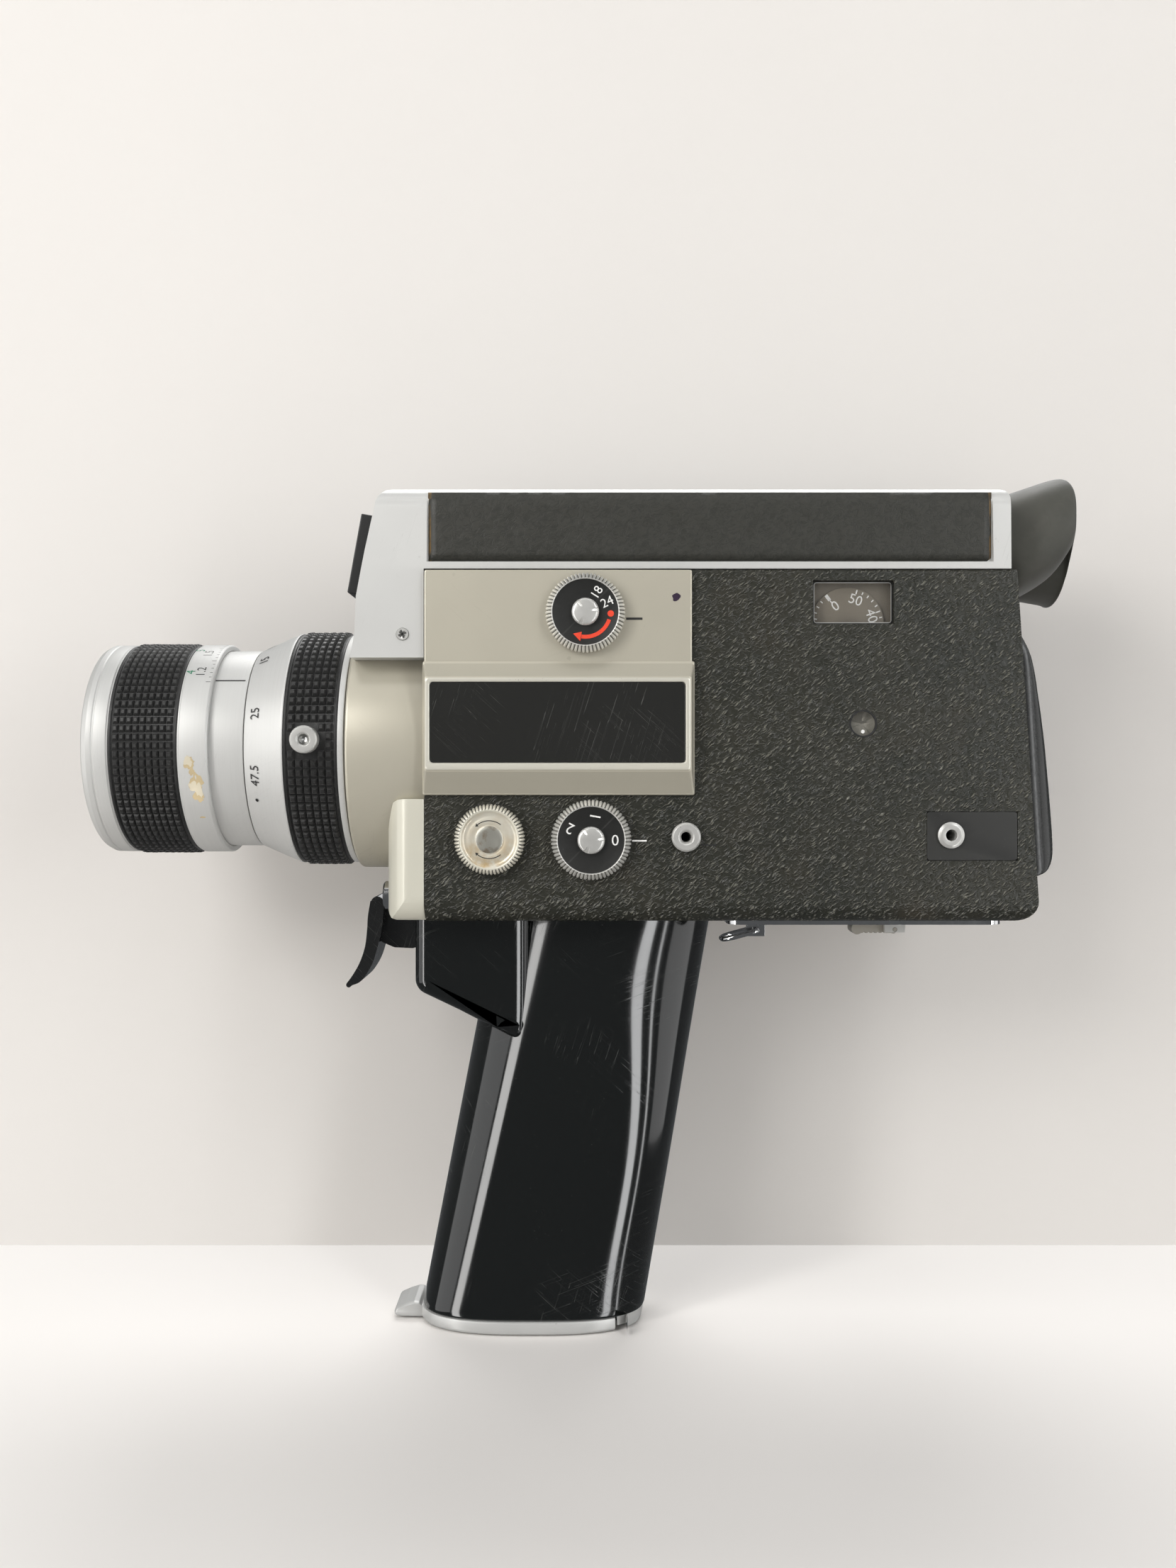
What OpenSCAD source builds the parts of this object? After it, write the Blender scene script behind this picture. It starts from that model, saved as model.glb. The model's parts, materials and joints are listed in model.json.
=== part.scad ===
// Hand-held Super-8 cine camera with a pistol grip, zoom lens and reflex finder.
// X runs from the lens (-X) to the eyecup (+X), Z is up, -Y is the camera's left side.
// The origin is the mouth of the tripod socket in the underside of the grip.

/* [Body] */
// Height of the underside of the body above the tripod socket
body_z0 = 98.5; // [97:0.5:100]
// Height of the top of the black body
body_z1 = 178.8; // [178.4:0.2:179.2]
// Half of the width of the body
body_hw = 29; // [28.8:0.1:29.2]
// Wall thickness of the shells
wall = 2.2; // [2:0.1:2.4]
// Height of the flat top of the silver housing
top_z = 198; // [197:0.5:200]

/* [Lens] */
// Height of the optical axis above the tripod socket
lens_z = 138.8; // [138.4:0.1:139.2]
// Radius of the drum that carries the lens
drum_r = 29.3; // [29:0.1:29.5]
// Radius of the focus ring
focus_r = 25.4; // [25:0.1:25.8]
// Front face of the lens
lens_front = -103.8; // [-105:0.1:-102]

/* [Grip] */
// Rearward lean of the grip in degrees
grip_lean = 10.6; // [10:0.1:11]
// Length of the grip section, front to back
grip_len = 53.4; // [52:0.1:54]
// Width of the grip section, side to side
grip_w = 35; // [34:0.5:37]
// Wall thickness of the grip
grip_wall = 1.7; // [1.5:0.1:2]

/* [Controls] */
// Radius of the filming speed dial
speed_r = 9.0; // [8.5:0.1:9.2]
// Radius of the main switch dial
switch_r = 9.1; // [8.5:0.1:9.3]
// Radius of the exposure knob
knob_r = 8.0; // [7.5:0.1:8.2]
// Number of ribs round each dial
dial_ribs = 60; // [40:2:72]

/* [Hidden] */

$fn = 64;
e = 0.01;

body_x0 = -24;
rear_top = 110.4;
rear_bot = 115.2;
rear_tilt = atan((rear_bot - rear_top) / (body_z1 - body_z0));
split_y = 6;
speed_x = 12.5;  speed_z = 168.5;
switch_x = 13.8; switch_z = 117.4;
knob_x = -9.1;   knob_z = 117.5;
aux_x = 35.3;    aux_z = 118;
jack_x = 95.3;   jack_z = 118.4;
count_x = 72.4;  count_z = 166.6;
film_x = 75.5;   film_z = 143.7;
eye_z = 188;
trig_x = -31;    trig_z = 100.8;
shut_z = 126.8;
motor_y = 13.42; motor_z = 118.09;
gear_m = 0.8;
latch_y = -14.5;
hinge_x = 20.4;  hinge_z = 1.55;
// direction from the shutter gear to the pinion: a tooth there faces a gap of the pinion
mesh_a = atan2(motor_y, -(motor_z - shut_z));

function arc(cx, cy, r, a0, a1, n) = [for (i = [0:n]) let (a = a0 + (a1 - a0) * i / n) [cx + r * cos(a), cy + r * sin(a)]];
function rrect(x0, y0, x1, y1, r, n = 6) = concat(
    arc(x1 - r, y1 - r, r, 0, 90, n), arc(x0 + r, y1 - r, r, 90, 180, n),
    arc(x0 + r, y0 + r, r, 180, 270, n), arc(x1 - r, y0 + r, r, 270, 360, n));
// toothed outline: n teeth of height ra - rf
function teeth(n, rf, ra, ph = 0) = [for (i = [0:n - 1], k = [0:3])
    let (p = 360 / n, a = ph + i * p + [-0.27, -0.13, 0.13, 0.27][k] * p, r = [rf, ra, ra, rf][k]) [r * cos(a), r * sin(a)]];

// outline in the XZ plane, extruded from y0 to y1
module prism_y(pts, y0, y1) { translate([0, y1, 0]) rotate([90, 0, 0]) linear_extrude(y1 - y0) polygon(pts); }
// outline in the YZ plane, extruded from x0 to x1
module prism_x(pts, x0, x1) { translate([x0, 0, 0]) rotate([90, 0, 90]) linear_extrude(x1 - x0) polygon(pts); }
module cyl_y(x, z, r, y0, y1) { translate([x, y1, z]) rotate([90, 0, 0]) cylinder(r = r, h = y1 - y0); }
module cyl_x(y, z, r, x0, x1) { translate([x0, y, z]) rotate([0, 90, 0]) cylinder(r = r, h = x1 - x0); }
module box(x0, x1, y0, y1, z0, z1) { translate([x0, y0, z0]) cube([x1 - x0, y1 - y0, z1 - z0]); }
// profile of [radius, x] turned about the optical axis
module turned(pts, z = lens_z) { translate([0, 0, z]) rotate([0, 90, 0]) rotate_extrude($fn = 96) polygon(pts); }
// a frame whose z axis runs along the slanted rear face of the body
module rear_frame() { translate([rear_bot, 0, body_z0]) rotate([0, -rear_tilt, 0]) children(); }
// a frame whose z axis runs up the leaning grip
module grip_frame() { translate([-0.8, 0, 0]) rotate([0, grip_lean, 0]) children(); }

// ---------- body ----------
body_xz = concat([[body_x0, body_z1], [body_x0, body_z0]],
    arc(rear_bot - 4.4, body_z0 + 4.6, 4.5, 270, 360 + rear_tilt, 7), [[rear_top, body_z1]]);
in_z0 = body_z0 + wall;
in_z1 = body_z1 - wall;
in_xz = [[body_x0 + wall, in_z0], [rear_bot - 6.6, in_z0], [rear_top - 4.4, in_z1], [body_x0 + wall, in_z1]];
body_yz = concat(arc(-body_hw + 5, body_z0 + 5, 5, 180, 270, 7), arc(body_hw - 5, body_z0 + 5, 5, 270, 360, 7),
    arc(body_hw - 1.2, body_z1 - 1.2, 1.2, 0, 90, 3), arc(-body_hw + 1.2, body_z1 - 1.2, 1.2, 90, 180, 3));
body_in_yz = concat(arc(-body_hw + 5, body_z0 + 5, 5 - wall, 180, 270, 4), arc(body_hw - 5, body_z0 + 5, 5 - wall, 270, 360, 4),
    [[body_hw - wall, in_z1], [-body_hw + wall, in_z1]]);

module body_solid() { intersection() { prism_y(body_xz, -body_hw, body_hw); prism_x(body_yz, -30, 120); } }
module body_cavity() { intersection() { prism_y(in_xz, -40, 40); prism_x(body_in_yz, -30, 120); } }
module door_hole() { // opening that the rear door fills
    rear_frame() box(-7, 3, -26.4, 26.4, 2.6, 73.2);
}

module left_shell() { color([0.16, 0.17, 0.15]) difference() { left_casing(); box(-60, 130, -40, -body_hw + wall, 90, 190); } }
module left_cover() { color([0.16, 0.17, 0.15]) intersection() { left_casing(); box(-60, 130, -40, -body_hw + wall, 90, 190); } }
module left_casing() {
    difference() {
        body_solid();
        body_cavity();
        box(-60, 130, split_y, 40, 90, 190);
        door_hole();
        cyl_x(0, lens_z, 22.6, -30, -20);
        // finder light path, trigger slot and the lock spindle
        box(-19, -5, -7, 7, 170, 190);
        box(-30, -20, -3.6, 40, 90, 104);
        translate([85, latch_y, 95]) cylinder(r = 2.1, h = 10);
        cyl_y(speed_x, speed_z, 2.6, -40, -20);
        cyl_y(switch_x, switch_z, 2.6, -40, -20);
        cyl_y(knob_x, knob_z, 2.1, -40, -20);
        cyl_y(aux_x, aux_z, 2.3, -40, -20);
        cyl_y(jack_x, jack_z, 2.4, -40, -20);
        box(64.1, 82.5, -40, -20, 166.3, 176.2);
        cyl_y(film_x, film_z, 3.15, -40, -20);
        // seats of the two windows
        box(63.1, 83.5, -27.6, -20, 165.3, 176.5);
        // seats of the plates on the side
        prism_y([[89.9, 112.6], [110.5, 112.6], [110.5, 123.8], [89.9, 123.8]], -40, -body_hw + 0.6);
        box(-24.1, 33, -40, -body_hw + 0.5, 133, 180);
        // passage into the grip
        box(-14, 30, -9, 40, 95, 101);
    }
}
module right_shell() {
    color([0.16, 0.17, 0.15]) {
        difference() {
            body_solid();
            body_cavity();
            box(-60, 130, -40, split_y, 90, 190);
            door_hole();
            rear_frame() box(-6.0, 3, 20, 40, 2.6, 73.2);
            cyl_x(0, lens_z, 22.6, -30, -20);
            box(-19, -5, -7, 7, 170, 190);
            box(-14, 30, -40, 9, 95, 101);
            // knuckles need room for the corner screws
            cyl_y(-14, 108, 1.25, 24, 40);
            cyl_y(102, 108, 1.25, 24, 40);
            cyl_y(-14, 172, 1.25, 24, 40);
            cyl_y(102, 172, 1.25, 24, 40);
        }
        // fixed knuckles of the rear door hinge
        for (z = [8, 60]) rear_frame() difference() {
            union() { translate([-3.2, 26.6, z]) cylinder(r = 2.3, h = 8); box(-8.6, -3.2, 25.6, 28.9, z, z + 8); }
            translate([-3.2, 26.6, z - 1]) cylinder(r = 0.95, h = 10);
        }
    }
}

// ---------- silver housing ----------
top_xz = concat([[-41, 158.7], [body_x0 - 0.2, 158.7], [body_x0 - 0.2, body_z1 + 0.1], [109.2, body_z1 + 0.1]],
    arc(109.4 - 2.5, top_z - 2.5, 2.5, 0, 90, 4), arc(-35.4 + 4.6, top_z - 4.6, 4.6, 90, 168, 5),
    [[-37.7, 182.8], [-39.6, 172.6], [-39.9, 164.3]]);
top_yz = concat([[-28.6, 150], [28.6, 150], [28.6, 179]], arc(27.8 - 5, top_z - 5, 5, 0, 90, 6), arc(-27.8 + 5, top_z - 5, 5, 90, 180, 6), [[-28.6, 179]]);
module top_housing() {
    color([0.80, 0.80, 0.78]) difference() {
        intersection() { prism_y(top_xz, -40, 40); prism_x(top_yz, -50, 120); }
        // room for the finder, open underneath
        intersection() {
            prism_y([[-22, 180.6], [-22, 170], [-34.6, 170], [-34.6, 190], [-31.5, 196], [107, 196], [107, 180.6]], -40, 40);
            prism_x([[-26, 165], [26, 165], [26, 191], [22, 196], [-22, 196], [-26, 191]], -50, 120);
        }
        box(-22.5, 100, -20, 20, 177, 182);
        cyl_x(0, lens_z, drum_r + 0.05, -50, body_x0);
        // meter window and eyepiece
        cyl_x(-8, 184.5, 4.6, -50, -30);
        cyl_x(0, eye_z, 8.0, 100, 120);
        cyl_y(-29, 164, 0.95, -40, -24);
        cyl_y(-29, 164, 1.45, -40, -28.3);
        // shallow seats for the side panels
        box(-23.5, 105.2, -40, -27.4, 180.5, 196.6);
        box(-23.5, 105.2, 27.4, 40, 180.5, 196.6);
    }
}
module leatherette_panels() {
    color([0.23, 0.23, 0.22]) for (s = [-1, 1]) intersection() {
        prism_y(rrect(-23.4, 180.6, 105.1, 196.5, 0.8, 3), s < 0 ? -28.5 : 27.4, s < 0 ? -27.4 : 28.5);
        prism_x(concat([[-40, 170], [40, 170], [40, 181]], arc(28.3 - 5, top_z - 5, 5, 0, 90, 6), arc(-28.3 + 5, top_z - 5, 5, 90, 180, 6), [[-40, 181]]), -50, 120);
    }
}

// ---------- left side dress plate ----------
module front_plate() {
    color([0.75, 0.72, 0.64]) difference() {
        union() {
            prism_y([[-23.9, 157.6], [-23.9, 178.4], [36.6, 178.4], [36.6, 157.6]], -30.1, -29.1);
            box(-23.9, 32.9, -29.4, -28.5, 133.1, 178.4);
            // lower block: bevelled top and bottom, slightly proud of the plate
            translate([36.9, 0, 0]) rotate([90, 0, -90]) linear_extrude(60.8) polygon([[29.1, 127.6], [30.4, 127.6], [32.2, 133.0], [32.2, 153.9], [30.1, 157.7], [29.1, 157.7]]);
        }
        prism_y(rrect(-22.6, 134.7, 35.0, 153.0, 0.9, 3), -40, -31.7);
        cyl_y(speed_x, speed_z, 2.6, -40, -20);
    }
}
module nameplate() { color([0.14, 0.14, 0.13]) prism_y(rrect(-22.5, 134.8, 34.9, 152.9, 0.8, 3), -32.1, -31.7); }

// ---------- front ----------
module lens_mount() {
    color([0.75, 0.72, 0.64])
        turned([[22.6, body_x0 - 0.1], [drum_r, body_x0 - 0.1], [drum_r, -41.6], [drum_r - 0.6, -42.2], [25.4, -42.2], [25.4, -28], [22.6, -28]]);
}
knuckle_xz = concat(arc(-33 + 4, 126.6 - 4, 4, 90, 180, 5), arc(-33.4 + 3.6, 98.6 + 3.6, 3.6, 180, 270, 5), [[body_x0 - 0.1, 98.6], [body_x0 - 0.1, 126.6]]);
// seen from above the cover turns the front corners of the body in a full curve
knuckle_xy = concat([for (i = [0:9]) [-27.6 - 5.8 * sin(10 * i), -19 - 10 * cos(10 * i)]], [for (i = [9:-1:0]) [-27.6 - 5.8 * sin(10 * i), 19 + 10 * cos(10 * i)]], [[-10, 29], [-10, -29]]);
module corner_cover() {
    color([0.81, 0.79, 0.71]) difference() {
        intersection() {
            prism_y(knuckle_xz, -29, 29);
            prism_x(concat(arc(-29 + 6, 98.6 + 6, 6, 180, 270, 6), arc(29 - 6, 98.6 + 6, 6, 270, 360, 6), [[29, 128], [-29, 128]]), -50, 0);
            prism_z(knuckle_xy, 90, 130);
        }
        // seat of the lens drum, hollow back, trigger slot and socket hole
        cyl_x(0, lens_z, drum_r + 0.05, -34.2, 0);
        box(-30.6, -23, -22.5, 22.5, 101.0, 114);
        box(-36, -23, -3.5, 3.5, 96, 106);
        cyl_x(-12, 103.4, 2.0, -40, -28);
        cyl_y(trig_x, trig_z, 1.03, -9, 9);
    }
}
module release_socket() { // cable release socket, axis along the lens
    color([0.85, 0.85, 0.85]) translate([0, -12, 103.4]) rotate([0, 90, 0]) rotate_extrude($fn = 48)
        polygon([[1.25, -35.6], [3.0, -35.6], [3.4, -35.2], [3.4, -33.45], [1.95, -33.45], [1.95, -29.5], [1.25, -29.5]]);
}
// bezel on the slanted front of the housing
module bezel_frame() { translate([-37.7, 0, 182.8]) rotate([0, 10.2, 0]) children(); }
module meter_bezel() {
    color([0.12, 0.12, 0.12]) difference() {
        bezel_frame() difference() {
            box(-3.4, -0.15, -22.5, 6, -9.2, 9.4);
            box(-4, -2.3, -21.1, 4.6, -7.8, 8.0);
        }
        cyl_x(-8, 184.5, 4.4, -50, -30);
    }
}
module meter_window() {
    color([0.3, 0.32, 0.34, 0.5]) bezel_frame() box(-3.0, -2.35, -21.0, 4.5, -7.7, 7.9);
}
module meter_movement() { // light cell and its moving-coil instrument behind the window
    color([0.5, 0.42, 0.3]) { cyl_x(-8, 184.5, 4.5, -34.3, -30); cyl_x(-8, 184.5, 5.4, -30, -18.5); cyl_x(-8, 184.5, 1.2, -18.5, -16.5); }
}

// ---------- small fittings on the left side ----------
module side_windows() {
    color([0.7, 0.72, 0.72, 0.5]) {
        box(63.3, 83.3, -27.55, -27.0, 165.5, 176.4);
        cyl_y(film_x, film_z, 3.1, -28.4, -26.9);
    }
}
module remote_plate() {
    color([0.1, 0.1, 0.1]) difference() {
        prism_y(rrect(90, 112.7, 110.4, 123.7, 0.6, 3), -29.0, -28.45);
        cyl_y(jack_x, jack_z, 2.4, -40, -20);
    }
}
module remote_jack() {
    color([0.82, 0.80, 0.74]) translate([jack_x, 0, jack_z]) rotate([90, 0, 0]) rotate_extrude($fn = 48)
        polygon([[1.3, 29.9], [2.3, 29.9], [3.0, 29.6], [3.0, 29.05], [2.35, 29.05], [2.35, 22], [3.3, 22], [3.3, 18], [1.3, 18]]);
}
module aux_socket() {
    color([0.82, 0.82, 0.82]) translate([aux_x, 0, aux_z]) rotate([90, 0, 0]) rotate_extrude($fn = 48)
        polygon([[1.15, 30.0], [1.8, 30.6], [2.9, 30.6], [3.3, 30.2], [3.3, 29.05], [2.25, 29.05], [2.25, 22], [3.2, 22], [3.2, 19], [1.15, 19]]);
}

// ---------- underside of the body ----------
module bottom_plate() {
    color([0.78, 0.78, 0.77]) {
        difference() {
            prism_z(rrect(45.6, -21.5, 109.5, 21.5, 3, 4), 97.3, body_z0 - 0.02);
            translate([85, latch_y, 90]) cylinder(r = 5.1, h = 20);
        }
        // strap lug
        difference() {
            box(50.5, 54.7, -17.5, -15.0, 94.2, 97.31);
            cyl_y(52.6, 95.7, 0.7, -30, 0);
        }
    }
}
module prism_z(pts, z0, z1) { translate([0, 0, z0]) linear_extrude(z1 - z0) polygon(pts); }
module strap_ring() { // wire ring through the lug, lying forward
    color([0.8, 0.78, 0.7]) translate([52.6, -16.25, 95.7]) rotate([0, -105, 0]) {
        for (z = [0, 8.2]) translate([0, 4.2, z]) rotate([90, 0, 0]) cylinder(r = 0.62, h = 8.4);
        for (s = [-1, 1]) translate([0, s * 3.6, 0]) cylinder(r = 0.6, h = 8.2);
    }
}
module latch_disc() { // turning plate of the film door lock
    color([0.8, 0.79, 0.75]) translate([0, latch_y, 0]) difference() {
        union() { translate([85, 0, 97.0]) cylinder(r = 5, h = 1.3); translate([85, 0, 98.2]) cylinder(r = 2, h = 2.8); box(82.6, 87.4, -4.2, -2.7, 95.2, 97.1); box(82.6, 87.4, 2.7, 4.2, 95.2, 97.1); }
        cyl_y(85, 95.9, 0.55, -10, 10);
        box(70, 86.8, -2.7, 2.7, 90, 97.35);
    }
}
module latch_key() { // folding key, stored flat, pointing forward
    color([0.68, 0.65, 0.58]) translate([0, latch_y, 0]) {
        cyl_y(85, 95.9, 0.5, -4.1, 4.1);
        difference() {
            union() { cyl_y(85, 95.9, 1.1, -2.5, 2.5); box(76.4, 85, -2.5, 2.5, 94.9, 96.9); cyl_y(76.5, 95.9, 1.35, -2.5, 2.5); }
            for (i = [0:4]) box(77.9 + i * 1.1, 78.4 + i * 1.1, -3, 3, 94.5, 95.15);
        }
    }
}

// ---------- grip ----------
grip_in = rrect(-grip_len / 2 + grip_wall, -grip_w / 2 + grip_wall, grip_len / 2 - grip_wall, grip_w / 2 - grip_wall, 9.3, 8);
grip_out = rrect(-grip_len / 2, -grip_w / 2, grip_len / 2, grip_w / 2, 12.5, 10);
guard_xz = concat([[12, 98.4], [-28, 98.4], [-28, 83]], arc(-28 + 3.4, 79.6 + 1.6, 3.4, 180, 250, 5), [[-14.1, 72.9], [-7.2, 70.4], [-5, 66]]);
module grip_left() { color([0.05, 0.05, 0.05]) intersection() { grip_casing(); box(-80, 80, -40, 0, -20, 120); } }
module grip_right() { color([0.05, 0.05, 0.05]) intersection() { grip_casing(); box(-80, 80, 0, 40, -20, 120); } }
module grip_casing() {
    union() {
        difference() {
            union() {
                intersection() { grip_frame() prism_z(grip_out, -15, 120); box(-60, 60, -30, 30, 3.3, 98.4); }
                // lip behind the battery cover
                intersection() { grip_frame() prism_z(grip_out, -15, 120); box(22.4, 60, -30, 30, 1.8, 3.4); }
            }
            intersection() { grip_frame() prism_z(grip_in, -15, 120); box(-60, 60, -30, 30, 3.0, 94.6); }
            intersection() { grip_frame() prism_z(grip_in, -15, 120); box(-60, 22, -30, 30, -5, 94.6); }
            // passages into the trigger guard and up into the body
            guard_hollow();
            box(-12, 28, -8, 8, 90, 100);
            // keeper slot for the tongue of the battery cover
            box(18, 22.5, -30, 30, 0, 3.4);
        }
        // ears of the battery cover hinge
        for (y = [-8.1, 4.7]) difference() {
            union() { cyl_y(hinge_x, hinge_z, 1.5, y, y + 3.4); box(hinge_x, 24, y, y + 3.4, 1.9, 3.05); }
            cyl_y(hinge_x, hinge_z, 0.66, -14, 14);
        }
    }
}
module guard_hollow() { prism_y([[-7, 94.6], [-25.6, 94.6], [-25.6, 83.4], [-22, 79.6], [-12, 76.4], [-5, 74]], -11.6, 11.6); }
module trigger_guard() { // block in front of the grip that the trigger swings into
    color([0.05, 0.05, 0.05]) difference() {
        // rounded across, so that it runs into the sides of the grip
        intersection() {
            prism_y(guard_xz, -16, 16);
            prism_z(rrect(-28, -16, 20, 16, 6, 6), 60, 100);
        }
        guard_hollow();
        box(-30, -24, -3.6, 3.6, 86.6, 100);
        intersection() { grip_frame() prism_z(grip_out, -15, 120); box(-60, 60, -30, 30, 3.3, 120); }
        box(-4, 60, -30, 30, 60, 120);
    }
}
module tripod_bush() {
    color([0.72, 0.72, 0.7]) {
        difference() {
            translate([0, 0, 0]) cylinder(r = 5.4, h = 9.5);
            translate([0, 0, -1]) cylinder(r = 2.85, h = 12);
        }
        difference() { // strut across the grip
            intersection() { box(-4.5, 4.5, -16.2, 16.2, 6.5, 9.5); grip_frame() prism_z(grip_in, -15, 120); }
            translate([0, 0, -1]) cylinder(r = 5.3, h = 12);
        }
    }
}
cover_out = rrect(-28.4, -17.2, 19.6, 17.2, 12, 10);
module battery_cover() {
    color([0.78, 0.78, 0.76]) union() { cover_plate(); cyl_y(hinge_x, hinge_z, 0.64, -8.0, 8.0); }
}
module cover_plate() {
    difference() {
        union() {
            prism_z(cover_out, 0, 3.1);
            box(4, 19.6, -17.2, 17.2, 0, 3.1);
            // finger beak at the front and the tongue behind it
            prism_y([[-34.2, 0.3], [-34.0, 2.9], [-28.6, 4.4], [-28.0, 4.4], [-27.9, 3.0], [-20, 3.0], [-20, 0], [-33.2, 0]], -6, 6);
            box(-25.2, -23.8, -3.5, 3.5, 3, 5);
            // hinge barrel
            cyl_y(hinge_x, hinge_z, 1.5, -4.4, 4.4);
            box(18, hinge_x, -4.4, 4.4, 0.05, 3.05);
        }
        translate([0, 0, -1]) cylinder(r = 6.1, h = 12);
        for (y = [-8.4, 4.4]) box(18.3, 25, y, y + 4, -1, 4);
    }
}
module battery_contacts() {
    color([0.8, 0.68, 0.35]) {
        // top contact strips for four upright cells
        grip_frame() for (x = [-17.2, 17.2], y = [-7.4, 7.4]) translate([x, y, 58]) { cylinder(r = 4.2, h = 0.6); translate([0, 0, 0.5]) cylinder(r = 1.6, h = 3.1); }
        grip_frame() prism_z(rrect(-24.2, -15.2, 24.2, 15.2, 8, 5), 61.5, 63.1);
    }
}

// ---------- screws ----------
module cross_screw(r, h) { difference() { cylinder(r = r, h = h); for (a = [0, 90]) rotate([0, 0, a]) translate([-r * 0.62, -0.19, h - 0.45]) cube([r * 1.24, 0.38, 1]); } }
module housing_screws() {
    color([0.75, 0.75, 0.73]) {
        translate([-29, -28.3, 164]) rotate([90, 38, 0]) cross_screw(1.35, 0.65);
        translate([-29, -28.32, 164]) rotate([-90, 0, 0]) cylinder(r = 0.85, h = 2.6);
        for (x = [-14, 102], z = [108, 172]) {
            translate([x, 29.03, z]) rotate([-90, 20, 0]) cross_screw(1.9, 0.7);
            translate([x, 24.6, z]) rotate([-90, 0, 0]) cylinder(r = 1.15, h = 4.5);
        }
    }
}

// ---------- lens ----------
module lens_barrel() {
    color([0.78, 0.78, 0.77]) turned([[19.5, -89.6], [21.2, -89.6], [21.2, -79.2], [24.0, -79.2], [24.0, -66.5], [22.2, -66.5], [22.2, -30], [22.55, -30], [22.55, -21.5], [12.1, -21.5], [12.1, -37], [19.5, -37]]);
}
module relay_lens() { color([0.7, 0.8, 0.85, 0.4]) turned([[0, -35.2], [6, -34.6], [12.05, -33], [12.05, -26.5], [7, -25.2], [0, -24.8]]); }
module focus_ring() {
    color([0.82, 0.82, 0.81]) difference() {
        turned([[22.6, lens_front], [focus_r - 0.9, lens_front], [focus_r, lens_front + 0.9], [focus_r, -97.3], [24.6, -97.3], [24.6, -81.3], [25.5, -81.3], [25.5, -74.35],
            [24.1, -74.35], [24.1, -82.6], [22.7, -82.6], [22.7, -92.6], [18.6, -92.6], [18.6, -93.4], [20.0, -95.6], [20.0, -99.2], [22.6, -101.2]]);
    }
}
module focus_rubber() { color([0.13, 0.13, 0.13]) turned([[24.62, -97.2], [25.7, -97.2], [25.7, -81.4], [24.62, -81.4]]); }
module front_lens() { color([0.5, 0.5, 0.65, 0.4]) turned([[0, -100.6], [7, -100.2], [13, -99.0], [19.9, -96.4], [19.9, -95.7], [18.5, -93.5], [10, -91.6], [0, -90.9]]); }
module helicoid_ring() { color([0.75, 0.62, 0.3]) turned([[21.25, -92.2], [22.64, -92.2], [22.64, -82.7], [21.25, -82.7]]); }
module zoom_ring() {
    color([0.82, 0.82, 0.81]) difference() {
        turned([[22.26, -66.2], [24.3, -66.2], [28.2, -56.9], [28.2, -56.5], [27.0, -56.5], [27.0, -44.0], [28.1, -44.0], [28.1, -42.6], [22.26, -42.6]]);
        cyl_y(-51.2, 140.1, 2.0, -40, -20);
    }
}
module zoom_rubber() {
    color([0.13, 0.13, 0.13]) difference() {
        turned([[27.05, -56.4], [28.45, -56.4], [28.45, -44.1], [27.05, -44.1]]);
        cyl_y(-51.2, 140.1, 3.25, -40, -20);
    }
}
module zoom_lever_socket() {
    color([0.82, 0.82, 0.8]) difference() {
        union() { cyl_y(-51.2, 140.1, 3.15, -30.6, -27.05); cyl_y(-51.2, 140.1, 1.95, -27.1, -23.0); }
        cyl_y(-51.2, 140.1, 1.25, -40, -26.0);
    }
}
module variator_cell() { color([0.15, 0.15, 0.15]) turned([[15.2, -72], [19.44, -72], [19.44, -60], [15.2, -60]]); }
module variator_lens() { color([0.5, 0.6, 0.7, 0.4]) turned([[0, -66.6], [8, -67.4], [15.15, -69.4], [15.15, -63], [8, -64.4], [0, -65]]); }

// ---------- dials on the left side ----------
// rim of radial ribs round a turned knob; the stated y is the outer face
module dial_body(x, z, r, y_in, y_out, shaft_r, shaft_in) {
    translate([x, 0, z]) rotate([90, 0, 0]) difference() {
        union() {
            translate([0, 0, -y_in]) linear_extrude(y_in - y_out - 0.5) polygon(teeth(dial_ribs, r - 0.3, r));
            translate([0, 0, -y_out - 0.51]) cylinder(r = r - 0.7, h = 0.51);
            translate([0, 0, -shaft_in]) cylinder(r = shaft_r, h = shaft_in - y_in + 0.1);
        }
        // dished face
        translate([0, 0, -y_out - 0.35]) cylinder(r = r - 1.75, h = 2);
    }
}
module dial_cap(x, z, y_in, y_out) {
    translate([x, 0, z]) rotate([90, 0, 0]) difference() {
        rotate_extrude($fn = 48) polygon([[0, -y_in], [3.05, -y_in], [3.05, -y_out - 0.45], [2.6, -y_out], [0, -y_out]]);
        for (a = [40, 160, 280]) rotate([0, 0, a]) translate([2.5, -0.35, -y_out - 0.7]) cube([1, 0.7, 1]);
    }
}
module speed_dial() { color([0.85, 0.84, 0.8]) dial_body(speed_x, speed_z, speed_r, -30.4, -33.6, 2.5, -22); }
module speed_dial_cap() { color([0.82, 0.82, 0.8]) dial_cap(speed_x, speed_z, -33.27, -34.6); }
module main_switch() { color([0.85, 0.84, 0.8]) dial_body(switch_x, switch_z, switch_r, -29.3, -32.5, 2.5, -20); }
module main_switch_cap() { color([0.82, 0.82, 0.8]) dial_cap(switch_x, switch_z, -32.17, -33.5); }
module exposure_shaft() {
    color([0.7, 0.7, 0.68]) {
        cyl_y(knob_x, knob_z, 2.0, -29.25, -18);
        cyl_y(knob_x, knob_z, 3.4, -20.6, -18);
        cyl_y(knob_x, knob_z, 1.1, -31.6, -29.2);
    }
}
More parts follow.
